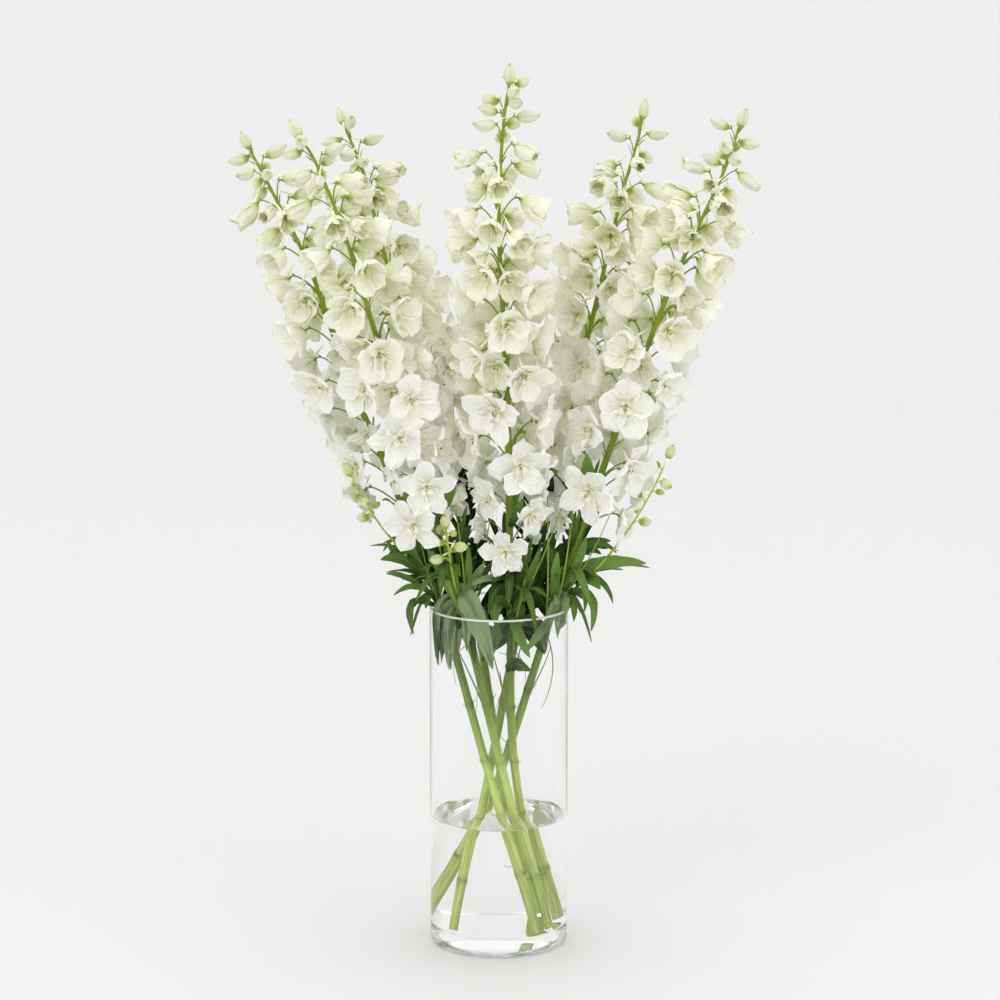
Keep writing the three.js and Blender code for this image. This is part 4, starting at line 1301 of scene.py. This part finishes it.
def leaf_grids(spike, spec, seeds, settings):
    """The lobes of one leaf, the middle line of its stalk, and the numbers that colour the lobes.

    A lobe's half width is a power of the place along times a power of what is left to the tip. The
    leaf rises by its slope times the distance, less its fall times the distance squared over its
    reach, less its cup times the square of the place aside; each lobe is folded up from its rib by
    the place across, and waves along its edges. Leaves that reach further aside are painted
    lighter, as painted light, and their tone also differs at random.
    """
    at, azimuth, stalk, blade, width, slope, fall = spec
    foot, reach, turn = AXES[spike].at(at), stalk + blade, math.radians(azimuth)
    rows, columns = LEAF_GRID
    begin, angle, long, broad = (LOBES[:, [i], None] for i in range(4))

    def each(low, high):
        """A random number for each lobe."""
        return seeds.uniform(low, high, len(LOBES))[:, None, None]

    t = np.linspace(0, 1, rows)[None, :, None]
    v = np.linspace(-1, 1, columns)[None, None, :]
    angle = np.radians(angle * LEAF["spread"] + each(-5, 5))
    length = long * blade * each(0.94, 1.06)
    bend = each(-0.16, 0.16) * length
    half = broad * width * LEAF["fuller"] / 2 * each(0.8, 1.1)
    wide = half * (t + 0.08) ** 0.8 * (1.004 - t) ** 0.7 / 0.62 * v
    start = stalk + begin * blade - 1.5
    far, aside = t * length, wide + bend * t**2
    x = np.minimum(start + far * np.cos(angle) - aside * np.sin(angle), reach)
    y = far * np.sin(angle) + aside * np.cos(angle)
    fold = settings.fold * np.abs(v) * half * np.sin(math.pi * t**0.6)
    phase = each(0, 6.28)
    wave = 0.7 * v**2 * np.sin(9 * t + phase + v) * np.sin(math.pi * t)
    layer = np.arange(len(LOBES))[:, None, None] * 0.12
    above = slope * x - fall * x**2 / reach + 0.4
    z = above - LEAF["cup"] * y**2 + fold + wave - layer
    to_right, to_back = math.cos(turn), math.sin(turn)
    grids = foot + np.stack([x * to_right - y * to_back, x * to_back + y * to_right, z], -1)
    s = np.linspace(0, stalk + 2, 9)
    above = slope * s - fall * s**2 / reach + 0.4
    line = foot + np.stack([s * to_right, s * to_back, above], -1)
    sideways = np.clip(abs(foot[0] + reach * to_right) / 100, 0, 1)
    # A random tone, with painted light on the leaves that reach further aside.
    tone = seeds.uniform(0.0, 0.35) + 0.5 * sideways + each(-0.1, 0.1)
    numbers = {"along": t, "across": v, "tone": tone}
    return grids, line, numbers


# Long single blades: the height of the foot, the knee and the tip of the middle line, the width and
# the roll about the line; then, for some, the pleats and how much of the dull underside shows.
BLADES = {"far_left": [
    (296, (-86, -20, 322), (-73, -24, 278), 7, 10), (320, (-85, -14, 344), (-96, -14, 357), 8, 20),
    (318, (-80, -16, 350), (-101, -18, 342), 9, -15), (304, (-80, -20, 334), (-96, -20, 330), 5, 0),
    (302, (-70, -16, 330), (-90, -12, 310), 6, 20), (310, (-76, -12, 352), (-84, -10, 372), 10, 30),
    (286, (-46, 14, 304), (-30, 22, 330), 13, 0),
], "left": [
    (296, (-46, -40, 336), (-60, -44, 356), 10, 30),
    (290, (-40, -40, 330), (-46, -46, 366), 8, -20), (284, (-22, -40, 322), (-26, -46, 362), 8, 40),
    (300, (-26, -44, 326), (-12, -50, 346), 10, -30, 0, 0.3),
    (306, (-50, -22, 322), (-49, -20, 258), 25, 12, 1, 0.9),
    (300, (-42, -30, 308), (-41, -32, 252), 14, -20, 0.9, 1),
    (296, (-38, -32, 300), (-35, -36, 262), 12, 24, 0.7, 0.8),
    (302, (-46, -28, 314), (-52, -14, 268), 13, -24, 0.8, 1),
    (380, (-44, -46, 396), (-36, -58, 414), 10, 20),
    (318, (-24, -46, 326), (-5, -46, 254), 21, -8, 0.4, 0.9),
    (312, (-26, -44, 318), (-27, -44, 268), 11, 16, 0.4, 0.8),
], "back_left": [
    (292, (-34, 30, 330), (-62, 40, 352), 12, 10), (300, (-20, 10, 334), (-16, -4, 366), 13, 20),
    (380, (-34, 20, 400), (-26, 4, 424), 12, -10), (280, (-2, 28, 308), (22, 30, 324), 15, 10),
    (284, (-26, 30, 302), (-46, 22, 314), 13, 0), (270, (-8, 30, 292), (14, 28, 300), 14, 0),
    (262, (-14, 12, 282), (3, 8, 260), 12, 0, 0, 0.1),
    (280, (-34, 34, 296), (-30, 40, 256), 18, 0, 0.6, 0.6),
    (290, (-14, 4, 296), (-12, -12, 262), 13, 0, 0.3, 0.5),
    (306, (-50, 60, 336), (-72, 70, 318), 9, 0), (302, (-30, 66, 330), (-26, 80, 280), 10, 0),
    (318, (-66, 34, 350), (-92, 40, 340), 9, 0),
], "centre": [
    (324, (-8, -50, 338), (-23, -52, 327), 6, 10, 0, 0.5),
    (288, (22, -30, 322), (36, -30, 356), 10, -30), (296, (20, -40, 336), (28, -46, 366), 8, 20),
    (292, (0, -34, 326), (-8, -40, 362), 7, 0), (372, (14, -60, 388), (20, -68, 404), 8, -10),
    (268, (2, -20, 286), (-14, -24, 254), 11, 0, 0.2, 0.2),
    (282, (6, -2, 304), (-6, 10, 334), 14, 0), (300, (-6, -52, 324), (-3, -53, 293), 13, 10, 0.2),
    (296, (14, -38, 286), (26, -42, 262), 10, 0, 0.2),
    (240, (10, -32, 262), (27, -40, 250), 14, -10, 0.4, 0.1),
    (284, (-4, -30, 292), (-8, -40, 258), 13, 10, 0.3, 0.4),
], "back_right": [
    (292, (36, -6, 330), (50, -2, 372), 13, -20), (300, (44, 20, 336), (70, 26, 356), 13, -10),
    (384, (44, 10, 404), (36, -6, 430), 12, 10), (276, (22, 30, 314), (-14, 26, 332), 15, 0),
    (284, (40, 24, 306), (58, 26, 318), 13, 0), (262, (16, 10, 284), (-4, 6, 256), 12, 10, 0, 0.1),
    (266, (26, 6, 282), (40, 2, 254), 11, 0),
    (280, (36, -14, 296), (40, -24, 262), 12, 10, 0.3, 0.3),
    (276, (28, 38, 296), (20, 46, 256), 20, 0, 0.7, 0.4), (306, (52, 66, 342), (72, 78, 322), 9, 0),
    (300, (30, 66, 332), (34, 80, 284), 11, 0), (316, (70, 40, 352), (98, 46, 346), 9, 0),
], "far_right": [
    (324, (86, -14, 346), (126, -14, 338), 12, -10), (330, (92, -16, 332), (98, -14, 303), 5, 0),
    (306, (90, -22, 326), (79, -24, 281), 8, 10), (300, (68, -24, 318), (64, -26, 290), 7, 0),
    (308, (80, -16, 324), (73, -18, 296), 5, 0), (334, (84, -4, 366), (101, -8, 346), 5, 0),
    (300, (66, -20, 330), (74, -26, 364), 10, -30), (290, (48, -26, 320), (50, -34, 352), 9, 20),
    (390, (76, -42, 412), (74, -46, 438), 13, 10), (284, (40, 6, 300), (22, 14, 326), 13, 0),
    (288, (40, -28, 290), (22, -36, 264), 9, 20, 0.3, 0.3),
    (304, (56, -22, 322), (50, -20, 276), 16, 10, 0.6, 0.8),
    (300, (52, -26, 312), (40, -32, 286), 10, -20, 0.4, 0.7),
]}
# The blades that fill the gaps over the rim, with the least and most of the foot's height, the
# reach, the climb and the width, and the sine of the angle below which the centre has none.
FILLERS = {"each": 17, "at": (288, 376), "reach": (10, 32), "climb": (26, 58), "width": (5.5, 10),
           "bare_front": -0.6}
# Thin bare stalks and dried strands: the foot's height, the knee, the tip and the radius.
STRANDS = {"far_left": [
    (300, (-62, -22, 330), (-66, -30, 362), 0.9),
], "left": [
    (200, (-20, -36, 236), (-35, -42, 270), 0.95), (186, (-13, -34, 224), (-23, -40, 264), 0.8),
    (258, (-16, -34, 240), (-20, -32, 206), 0.4), (270, (-44, -30, 262), (-36, -34, 236), 0.4),
    (286, (-40, -46, 318), (-56, -52, 356), 1.0), (270, (-38, -42, 306), (-60, -48, 398), 1.2),
    (280, (-26, -44, 312), (-36, -44, 390), 1.1), (276, (-18, -42, 306), (-8, -38, 378), 1.0),
], "back_left": [
    (190, (-18, 10, 230), (-12, -8, 268), 1.1), (292, (-8, 48, 320), (2, 66, 350), 0.9),
], "centre": [
    (196, (3, -30, 232), (-5, -36, 264), 1.0), (172, (7, -22, 204), (1, -30, 246), 0.8),
    (262, (26, -28, 256), (22, -32, 236), 0.4), (236, (2, -30, 232), (-3, -34, 212), 0.4),
    (292, (28, -34, 316), (57, -40, 402), 0.8), (270, (18, -36, 304), (31, -38, 376), 1.0),
], "back_right": [
    (196, (12, 0, 232), (20, -14, 268), 1.1), (290, (26, 44, 318), (16, 60, 352), 0.9),
], "far_right": [
    (212, (38, -10, 240), (44, -22, 266), 0.8), (272, (54, -16, 246), (37, -20, 212), 0.6),
    (300, (74, -30, 332), (94, -34, 384), 0.8), (262, (44, -32, 300), (41, -42, 402), 1.0),
    (282, (56, -32, 312), (64, -40, 404), 1.0),
]}
# A strand: the radius that is left at its tip, how fresh it is above the rim or dried below it.
STRAND = {"rings": 14, "sides": 6, "tip": 0.45, "young": 0.12, "scar": 0.25}
# How clear of the glass the blades stay, and how far above the rim and in what span that fades.
GLASS_GAP = {"inside": 1.5, "outside": 1.2, "above": 7, "fade": 6}


def clear_of_glass(points):
    """Points lower than the rim, moved level to the inside or the outside of the glass wall where
    they lie in it; the move fades out over a few millimetres above the rim."""
    away = np.hypot(points[..., 0], points[..., 1])
    inner = VASE["radius"] - VASE["wall"] - GLASS_GAP["inside"]
    outer = VASE["radius"] + GLASS_GAP["outside"]
    within = away < VASE["radius"] - VASE["wall"] / 2
    wanted = np.where(within, np.minimum(away, inner), np.maximum(away, outer))
    height = VASE["height"] + GLASS_GAP["above"] - points[..., 2]
    fade = np.clip(height / GLASS_GAP["fade"], 0, 1)
    grown = 1 + (wanted / np.maximum(away, 1) - 1) * fade
    return points * np.stack([grown, grown, np.ones_like(grown)], -1)


def blade_grids(line, seeds, fold, towards, width, roll, pleat=0, pale=0):
    """One blade: a bowed middle line carries a lance-shaped outline.

    The half width is a power of the place along times a power of what is left to the tip, with
    teeth that grow in step with the place along and fall back at once. The width is laid square to
    the curve and to the way that the blade faces, then rolled about the curve. Each side is folded
    up from the rib, the edges wave as a sine of the place along, and a pleated blade ripples as a
    cosine of the place across, which wanders, and ends in a ragged edge. A blade has painted shade
    towards its foot, as the square of what is left to the tip, and painted light when it reaches
    further to the front, the left or the right; the rest of its tone is random, and the valleys of
    its pleats carry painted shade.
    """
    rows, columns = LEAF_GRID
    t, tip = np.linspace(0, 1, rows), line.points[-1]
    line = line.by_place(t)
    ahead = unit(np.gradient(line, axis=0))
    level = unit(np.cross(ahead, towards))
    over, angle = np.cross(level, ahead), math.radians(roll)
    side = level * math.cos(angle) + over * math.sin(angle)
    up = over * math.cos(angle) - level * math.sin(angle)
    side, up, ahead = side[:, None], up[:, None], ahead[:, None]
    t, v = t[:, None, None], np.linspace(-1, 1, columns)[None, :, None]
    shape = (t + 0.02) ** (0.9 - 0.4 * pleat) * (1.004 - t) ** (0.75 - 0.4 * pleat**3)
    phase, beat = seeds.uniform(0, 6.28), seeds.uniform(1.2, 2.2)
    tooth = seeds.uniform(0, 0.35) * (1 - pleat)
    teeth = 1 + tooth * ((t * 4 + phase) % 1 - 0.5) * np.sin(math.pi * t)
    wide = width / 2 * shape / shape.max() * teeth + 0.5 * (1 - t) ** 4
    wave = (0.06 + 0.07 * pleat) * width * v**2 * np.sin(2 * math.pi * beat * t + phase + v)
    pleats = np.cos(6 * v + 3.5 * t + 1.4 * np.sin(4 * t + 2 * v + phase) + phase)
    ripple = pleat * 0.13 * width * pleats * np.sqrt(t)
    rise = fold * np.abs(v) * wide + wave + ripple
    ragged = 0.35 * width * pleat**2 * t**4 * np.sin(5 * v + phase)
    grid = line[:, None] + side * v * wide * (1 - 0.2 * pleat) + up * rise + ahead * ragged
    # Painted light on blades that reach to the front or aside, and painted shade towards the foot,
    # deep in the bunch.
    front = np.clip(0.5 - (tip[1] + 10) / 60, 0, 1)
    sideways = np.clip(abs(tip[0]) / 100 - 0.3, 0, 1)
    tone = seeds.uniform(0, 0.35) + 0.85 * front * seeds.uniform(0.2, 1) - 0.4 * (1 - t) ** 2
    numbers = {"along": t, "across": v, "pale": np.array([pale]),
               "valley": 0.4 * pleat * np.clip(-pleats, 0, 1), "tone": tone + 0.5 * sideways}
    return clear_of_glass(grid)[None], {word: value[..., 0] for word, value in numbers.items()}


def filler_blades(name, seeds):
    """Blades that leave the stem all round, more or less steeply, with their knees over the middle.
    The front of the centre spike has none, so that its lowest florets show."""
    found = []
    for n in range(FILLERS["each"]):
        at, reach, climb, width = (
            seeds.uniform(*FILLERS[word]) for word in ("at", "reach", "climb", "width"))
        angle = math.radians(n * SPIRAL + seeds.uniform(-20, 20))
        if name == "centre" and math.sin(angle) < FILLERS["bare_front"]:
            continue
        foot = AXES[name].at(at)
        way, rise = level_way(angle) * reach, UP * climb
        knee, tip = foot + (way + rise) * 0.7, foot + way + rise * seeds.uniform(0.6, 1.2)
        found.append((at, knee, tip, width, seeds.uniform(-60, 60)))
    return found


def make_leaves(settings, stems):
    """One piece for each spike: lobed leaves on their stalks, blades, which face the front, filling
    blades, which face up, and strands."""
    blade, skin = shared(leaf_material, settings), shared(stem_material, stems)
    for name, (_, _, seed, _) in SPIKES.items():
        work, seeds = Patchwork(), np.random.default_rng(seed + SEEDS["leaves"])
        for spec in LEAVES[name]:
            grids, line, numbers = leaf_grids(name, spec, seeds, settings)
            work.sheets(grids, settings.thickness / MM, 0, **numbers)
            radii = LEAF["stalk_radius"] * np.linspace(1.25, 0.8, len(line))
            work.twig(line, radii, LEAF["stalk_sides"], scar=0)
        for specs, towards in ((BLADES[name], (0, -1, 0)), (filler_blades(name, seeds), (0, 0, 1))):
            for at, knee, tip, *rest in specs:
                line = Bow(AXES[name].at(at), knee, tip)
                grids, numbers = blade_grids(line, seeds, settings.fold, towards, *rest)
                work.sheets(grids, settings.thickness / MM, 0, **numbers)
        for at, knee, tip, radius in STRANDS[name]:
            line = Bow(AXES[name].at(at), knee, tip).point(np.linspace(0, 1, STRAND["rings"]))
            radii = radius * np.linspace(1, STRAND["tip"], STRAND["rings"])
            fresh = tip[2] > VASE["height"]
            numbers = {"young": STRAND["young"]} if fresh else {"scar": STRAND["scar"]}
            work.tubes(line[None], radii[None], [[0.3, 1.0, 0.1]], STRAND["sides"], 1, **numbers)
        work.piece(f"{name}_leaves", [blade, skin], "green_stem_and_leaf", [f"{name}_leafy_stem"])


# ---- Vase and water ----


def rounded(corners, radii, steps=8):
    """An outline with its corners rounded: each is a quadratic curve from its radius before the
    corner to its radius after it. Points on the same spot are left out."""
    corners = np.array(corners, float)
    line = [corners[0]]
    for before, corner, after, radius in zip(corners, corners[1:], corners[2:], radii):
        start = corner + unit(before - corner) * radius
        end = corner + unit(after - corner) * radius
        line += list(Bow(start, corner, end).by_place(np.linspace(0, 1, steps)))
    line = np.array([*line, corners[-1]])
    apart = np.linalg.norm(np.diff(line, axis=0), axis=1) > 0.01
    return line[np.concatenate([[True], apart])]


def let_light_in(piece):
    """Clear glass and water hardly darken what stands behind them, so they cast no shadow."""
    piece.visible_shadow = False


def make_vase(settings):
    """The glass: a straight wall, a thick floor rounded inside, a fire-polished rim and a foot that
    is hollowed a little under its middle."""
    radius, floor, top = VASE["radius"], VASE["floor"], VASE["height"]
    inner, ring, hollow = radius - VASE["wall"], radius - VASE["ring"], settings.hollow / MM
    corners = [(0, hollow), (ring - VASE["slope"], hollow), (ring, 0), (radius, 0), (radius, top),
               (inner, top), (inner, floor), (0, floor)]
    words = ("ring_edge", "ring_edge", "heel", "edge", "edge", "corner")
    # The rim's faces take the painted highlight, and the heel's the painted reflection.
    rim = (top - VASE["edge"], math.inf)
    heel = (0.1 * VASE["heel"], 0.9 * VASE["heel"])
    work = Patchwork()
    work.turned(rounded(corners, [VASE[word] for word in words]), VASE["sides"], [rim, heel])
    materials = [glass_material(settings), rim_material(settings), foot_material(settings)]
    let_light_in(work.piece("clear_vase", materials, "clear_glass", ["glass_vase"], CREASE))


def make_water(settings):
    """The water: it fills the vase up to its level, and climbs the glass by a power of the place
    across its rim. It laps into the glass by a hair, so that no film of air lies between them."""
    wall = VASE["radius"] - VASE["wall"] + WATER["lap"]
    floor, level, climb = VASE["floor"] - WATER["lap"], WATER["level"], settings.climb / MM
    body = rounded([(0, floor), (wall, floor), (wall, level + climb)], [VASE["corner"]])
    rim = np.linspace(0, 1, WATER["rings"])[1:, None]
    slope = np.concatenate([wall - WATER["rim"] * rim, level + climb * (1 - rim) ** 2.2], 1)
    work = Patchwork()
    work.turned(np.vstack([body, slope, [(0, level)]]), WATER["sides"])
    materials = [water_material(settings)]
    let_light_in(work.piece("still_water", materials, "still_water", ["water"], CREASE))


# ---- Floor, light and camera ----


def make_stage(settings):
    """A pale floor that curves up all round, a large soft lamp with a soft fill, and the camera."""
    in_scene("pale_floor", floor_mesh(settings))
    world = bpy.data.worlds.new("soft_sky")
    world.use_nodes = True
    sky = world.node_tree.nodes["Background"].inputs
    sky["Color"].default_value = (1, 1, 1, 1)
    sky["Strength"].default_value = settings.sky
    scene = bpy.context.scene
    scene.world = world
    for name, (place, size) in LAMPS.items():
        data = bpy.data.lights.new(f"{name}_lamp", "AREA")
        data.energy, data.size = getattr(settings, name), size
        lamp = in_scene(f"{name}_lamp", data)
        lamp.location = place
        aim = Vector(LAMP_AIM) - Vector(place)
        lamp.rotation_euler = aim.to_track_quat("-Z", "Y").to_euler()
    data = bpy.data.cameras.new("camera")
    data.lens, data.sensor_width = CAMERA["lens"], CAMERA["sensor"]
    scene.camera = camera = in_scene("camera", data)
    camera.location = np.array(CAMERA["place"]) * MM
    camera.rotation_euler = (math.radians(90 - CAMERA["down"]), 0, 0)
    scene.view_settings.view_transform = "Standard"
    cycles = scene.cycles
    cycles.max_bounces = cycles.transmission_bounces = cycles.glossy_bounces = CLEAR_BOUNCES
    cycles.diffuse_bounces = PETAL_BOUNCES


def floor_mesh(settings):
    """The floor, turned round the Z axis from a profile: an upright wall, a quarter circle and the
    level floor, with a fan of triangles at the middle. Its colour changes with the distance, as
    painted shade near the middle and painted light where it curves up."""
    bend, sides = FLOOR["bend"], FLOOR["sides"]
    turn = np.linspace(0, math.pi / 2, FLOOR["rings"])
    radius = np.concatenate([[FLOOR["flat"] + bend], FLOOR["flat"] + bend * np.cos(turn),
                             [FLOOR["hole"]]])[:, None]
    height = np.concatenate([[FLOOR["wall"]], bend - bend * np.sin(turn), [0]])[:, None]
    angle = round_angles(sides)
    rings = np.broadcast_arrays(radius * np.cos(angle), radius * np.sin(angle), height)
    points = np.stack(rings, -1).reshape(-1, 3)
    around = np.arange(sides)
    last = len(points) - sides
    fan = np.stack([np.full(sides, len(points)), last + around, last + (around + 1) % sides], 1)
    faces = [*ring_faces(len(radius), sides)[0].tolist(), *fan.tolist()]
    mesh = bpy.data.meshes.new("pale_floor")
    mesh.from_pydata([*points.tolist(), [0, 0, 0]], [], faces)
    mesh.shade_smooth()
    shader = Shader("pale_floor", Roughness=0.75)
    place = shader.place()
    away = shader.node("VectorMath", {0: place}, operation="LENGTH").outputs["Value"]
    speck = shader.maths("MULTIPLY_ADD", shader.noise(place, scale=2.0), 0.2, away)
    # Painted shade near the vase and painted light where the floor curves up.
    shade = shader.mixed(shader.ramp(speck, 0.2, 3.6), settings.floor, settings.backdrop)
    mesh.materials.append(shader.colour(shade))
    return mesh


# ---- Settings ----


def colour(name, description, *default):
    """A colour that the user may change."""
    return FloatVectorProperty(name=name, description=description, subtype="COLOR", size=3,
                               min=0, max=1, default=default)


def distance(name, description, default):
    """A length that the user may change, in metres."""
    return FloatProperty(name=name, description=description, default=default, min=0,
                         unit="LENGTH", precision=4)


def amount(name, description, default, high=1.0):
    """A plain number that the user may change."""
    return FloatProperty(name=name, description=description, default=default, min=0, max=high)


def power(name, description, default):
    """A lamp's power that the user may change, in watts."""
    return FloatProperty(name=name, description=description, default=default, min=0, unit="POWER")


class FloretSettings(PropertyGroup):
    white: colour("White", "Colour of an open floret", 0.984, 0.977, 0.94)
    cream: colour("Cream", "Colour of a floret that is still a bell", 0.974, 0.969, 0.765)
    # Throat and young throat are the colours of the painted shade deep in a floret's cup: beige in
    # an open one, and a painted yellow-green glow in a bell.
    throat: colour("Throat", "Colour deep in an open floret", 0.87, 0.85, 0.66)
    glow: colour("Young throat", "Colour deep in a floret that is still a bell", 0.78, 0.82, 0.34)
    middle: colour("Middle", "Colour of the small petals in the middle", 0.96, 0.92, 0.75)
    pale_green: colour("Pale green", "Colour of young buds", 0.88, 0.91, 0.46)
    green: colour("Green", "Colour where the stalk joins", 0.38, 0.49, 0.07)
    vein: colour("Veins", "Colour of the veins", 0.6, 0.68, 0.3)
    gold: colour("Gold", "Colour of the hairs and the pollen", 0.74, 0.66, 0.24)
    anther: colour("Anther", "Colour of the anthers", 0.1, 0.09, 0.03)
    thickness: distance("Thickness", "Thickness of a sepal", 0.0003)
    ruffle: distance("Ruffle", "Height of the waves along the edge of a sepal", 0.0026)
    pleat: distance("Pleat", "Depth of the pleats along a sepal", 0.0009)


class StemSettings(PropertyGroup):
    wet: colour("Wet", "Colour of the stem in the water", 0.68, 0.8, 0.25)
    lower: colour("Lower", "Colour of the lower stem", 0.23, 0.33, 0.075)
    upper: colour("Upper", "Colour of the stem among the florets", 0.27, 0.37, 0.035)
    shade: colour("Streaks", "Colour of the streaks along the stem", 0.1, 0.16, 0.015)
    young: colour("Young", "Colour of the side shoots", 0.5, 0.62, 0.09)
    scar: colour("Scars", "Colour of the leaf scars and dried threads", 0.1, 0.08, 0.035)
    swell: distance("Swelling", "How far a stem swells at its nodes", 0.0005)


class LeafSettings(PropertyGroup):
    # The dark colour is the leaves' own dark green and also the painted shade deep in the bunch and
    # in the valleys of the pleats.
    dark: colour("Dark", "Darker colour of the leaves", 0.004, 0.019, 0.001)
    fresh: colour("Fresh", "Lighter colour of the leaves", 0.16, 0.285, 0.055)
    rib: colour("Ribs", "Colour of the ribs and the side veins", 0.24, 0.36, 0.09)
    underside: colour("Underside", "Colour of a leaf's dull underside", 0.29, 0.37, 0.2)
    thickness: distance("Thickness", "Thickness of a leaf", 0.00045)
    fold: amount("Fold", "How steeply a lobe is folded up from its rib", 0.35)


class VaseSettings(PropertyGroup):
    colour: colour("Glass", "Colour of the glass", 1.0, 1.0, 1.0)
    tint: colour("Tint", "Colour of the glass where it is deeper", 0.995, 1.0, 0.998)
    # The rim colour is a painted highlight on the melted edge.
    rim: colour("Rim", "Colour of the melted edge", 0.9, 0.92, 0.91)
    # The foot colour is a painted reflection: the dark lines in the thick heel.
    foot: colour("Foot", "Colour of the rounded heel", 0.34, 0.4, 0.4)
    hollow: distance("Hollow", "How far the foot is hollowed under its middle", 0.0012)


class WaterSettings(PropertyGroup):
    colour: colour("Water", "Colour of the water", 1.0, 1.0, 1.0)
    tint: colour("Haze", "Colour of the water where it is hazy", 0.985, 0.995, 0.985)
    climb: distance("Climb", "How far the water climbs the glass", 0.0016)


class StageSettings(PropertyGroup):
    # The floor is painted darker under the vase and lighter where it curves up, as painted shade
    # and light.
    floor: colour("Floor", "Colour of the floor under the vase", 0.83, 0.83, 0.822)
    backdrop: colour("Backdrop", "Colour of the floor where it curves up", 0.87, 0.87, 0.867)
    sky: amount("Sky", "Strength of the even light from all round", 1.02, 10)
    key: power("Key lamp", "Power of the large soft lamp", 20)
    fill: power("Fill lamp", "Power of the soft lamp opposite", 10)


class DelphiniumSettings(PropertyGroup):
    florets: PointerProperty(type=FloretSettings, name="Florets", description="Florets and buds")
    stems: PointerProperty(type=StemSettings, name="Stems", description="Stems and stalks")
    leaves: PointerProperty(type=LeafSettings, name="Leaves", description="Leaves")
    vase: PointerProperty(type=VaseSettings, name="Vase", description="Glass vase")
    water: PointerProperty(type=WaterSettings, name="Water", description="Water")
    stage: PointerProperty(type=StageSettings, name="Stage", description="Floor and light")


# ---- Operators and panel ----


class MakeFlorets(Operator):
    """Makes the florets and buds of every spike"""
    bl_idname = "delphinium.florets"
    bl_label = "Florets"

    def execute(self, context):
        make_florets(context.scene.delphinium.florets)
        return {"FINISHED"}


class MakeStalks(Operator):
    """Makes the flower stalks and bracts of every spike"""
    bl_idname = "delphinium.stalks"
    bl_label = "Flower stalks"

    def execute(self, context):
        make_stalks(context.scene.delphinium.stems)
        return {"FINISHED"}


class MakeStems(Operator):
    """Makes the six stems"""
    bl_idname = "delphinium.stems"
    bl_label = "Stems"

    def execute(self, context):
        make_stems(context.scene.delphinium.stems)
        return {"FINISHED"}


class MakeLeaves(Operator):
    """Makes the leaves"""
    bl_idname = "delphinium.leaves"
    bl_label = "Leaves"

    def execute(self, context):
        settings = context.scene.delphinium
        make_leaves(settings.leaves, settings.stems)
        return {"FINISHED"}


class MakeShoots(Operator):
    """Makes the side shoots and their buds"""
    bl_idname = "delphinium.shoots"
    bl_label = "Side shoots"

    def execute(self, context):
        settings = context.scene.delphinium
        make_shoots(settings.stems, settings.florets)
        return {"FINISHED"}


class MakeVase(Operator):
    """Makes the glass vase"""
    bl_idname = "delphinium.vase"
    bl_label = "Vase"

    def execute(self, context):
        make_vase(context.scene.delphinium.vase)
        return {"FINISHED"}


class MakeWater(Operator):
    """Makes the water in the vase"""
    bl_idname = "delphinium.water"
    bl_label = "Water"

    def execute(self, context):
        make_water(context.scene.delphinium.water)
        return {"FINISHED"}


class MakeStage(Operator):
    """Makes the floor, the light and the camera"""
    bl_idname = "delphinium.stage"
    bl_label = "Stage"

    def execute(self, context):
        make_stage(context.scene.delphinium.stage)
        return {"FINISHED"}


OPERATORS = [MakeFlorets, MakeStalks, MakeStems, MakeLeaves, MakeShoots, MakeVase, MakeWater,
             MakeStage]


class DelphiniumPanel(Panel):
    """Lists the pieces, and the sizes and colours that may be changed"""
    bl_idname = "VIEW3D_PT_delphinium"
    bl_label = "Delphinium bunch"
    bl_space_type = "VIEW_3D"
    bl_region_type = "UI"
    bl_category = "Delphinium"

    def draw(self, context):
        """Draws a button for each operator, and a box of settings for each group"""
        for operator in OPERATORS:
            self.layout.operator(operator.bl_idname)
        for word in DelphiniumSettings.__annotations__:
            group, box = getattr(context.scene.delphinium, word), self.layout.box()
            box.label(text=word.capitalize())
            for setting in group.__annotations__:
                box.prop(group, setting)


CLASSES = [FloretSettings, StemSettings, LeafSettings, VaseSettings, WaterSettings, StageSettings,
           DelphiniumSettings, *OPERATORS, DelphiniumPanel]


def register():
    """Registers the classes, and hangs the settings on the scene."""
    for kind in CLASSES:
        bpy.utils.register_class(kind)
    bpy.types.Scene.delphinium = PointerProperty(type=DelphiniumSettings)


def unregister():
    """Takes the settings off the scene, and the classes out again."""
    del bpy.types.Scene.delphinium
    for kind in reversed(CLASSES):
        bpy.utils.unregister_class(kind)


def main():
    """Makes every piece and the stage."""
    register()
    for operator in OPERATORS:
        group, word = operator.bl_idname.split(".")
        getattr(getattr(bpy.ops, group), word)()


if __name__ == "__main__":
    main()
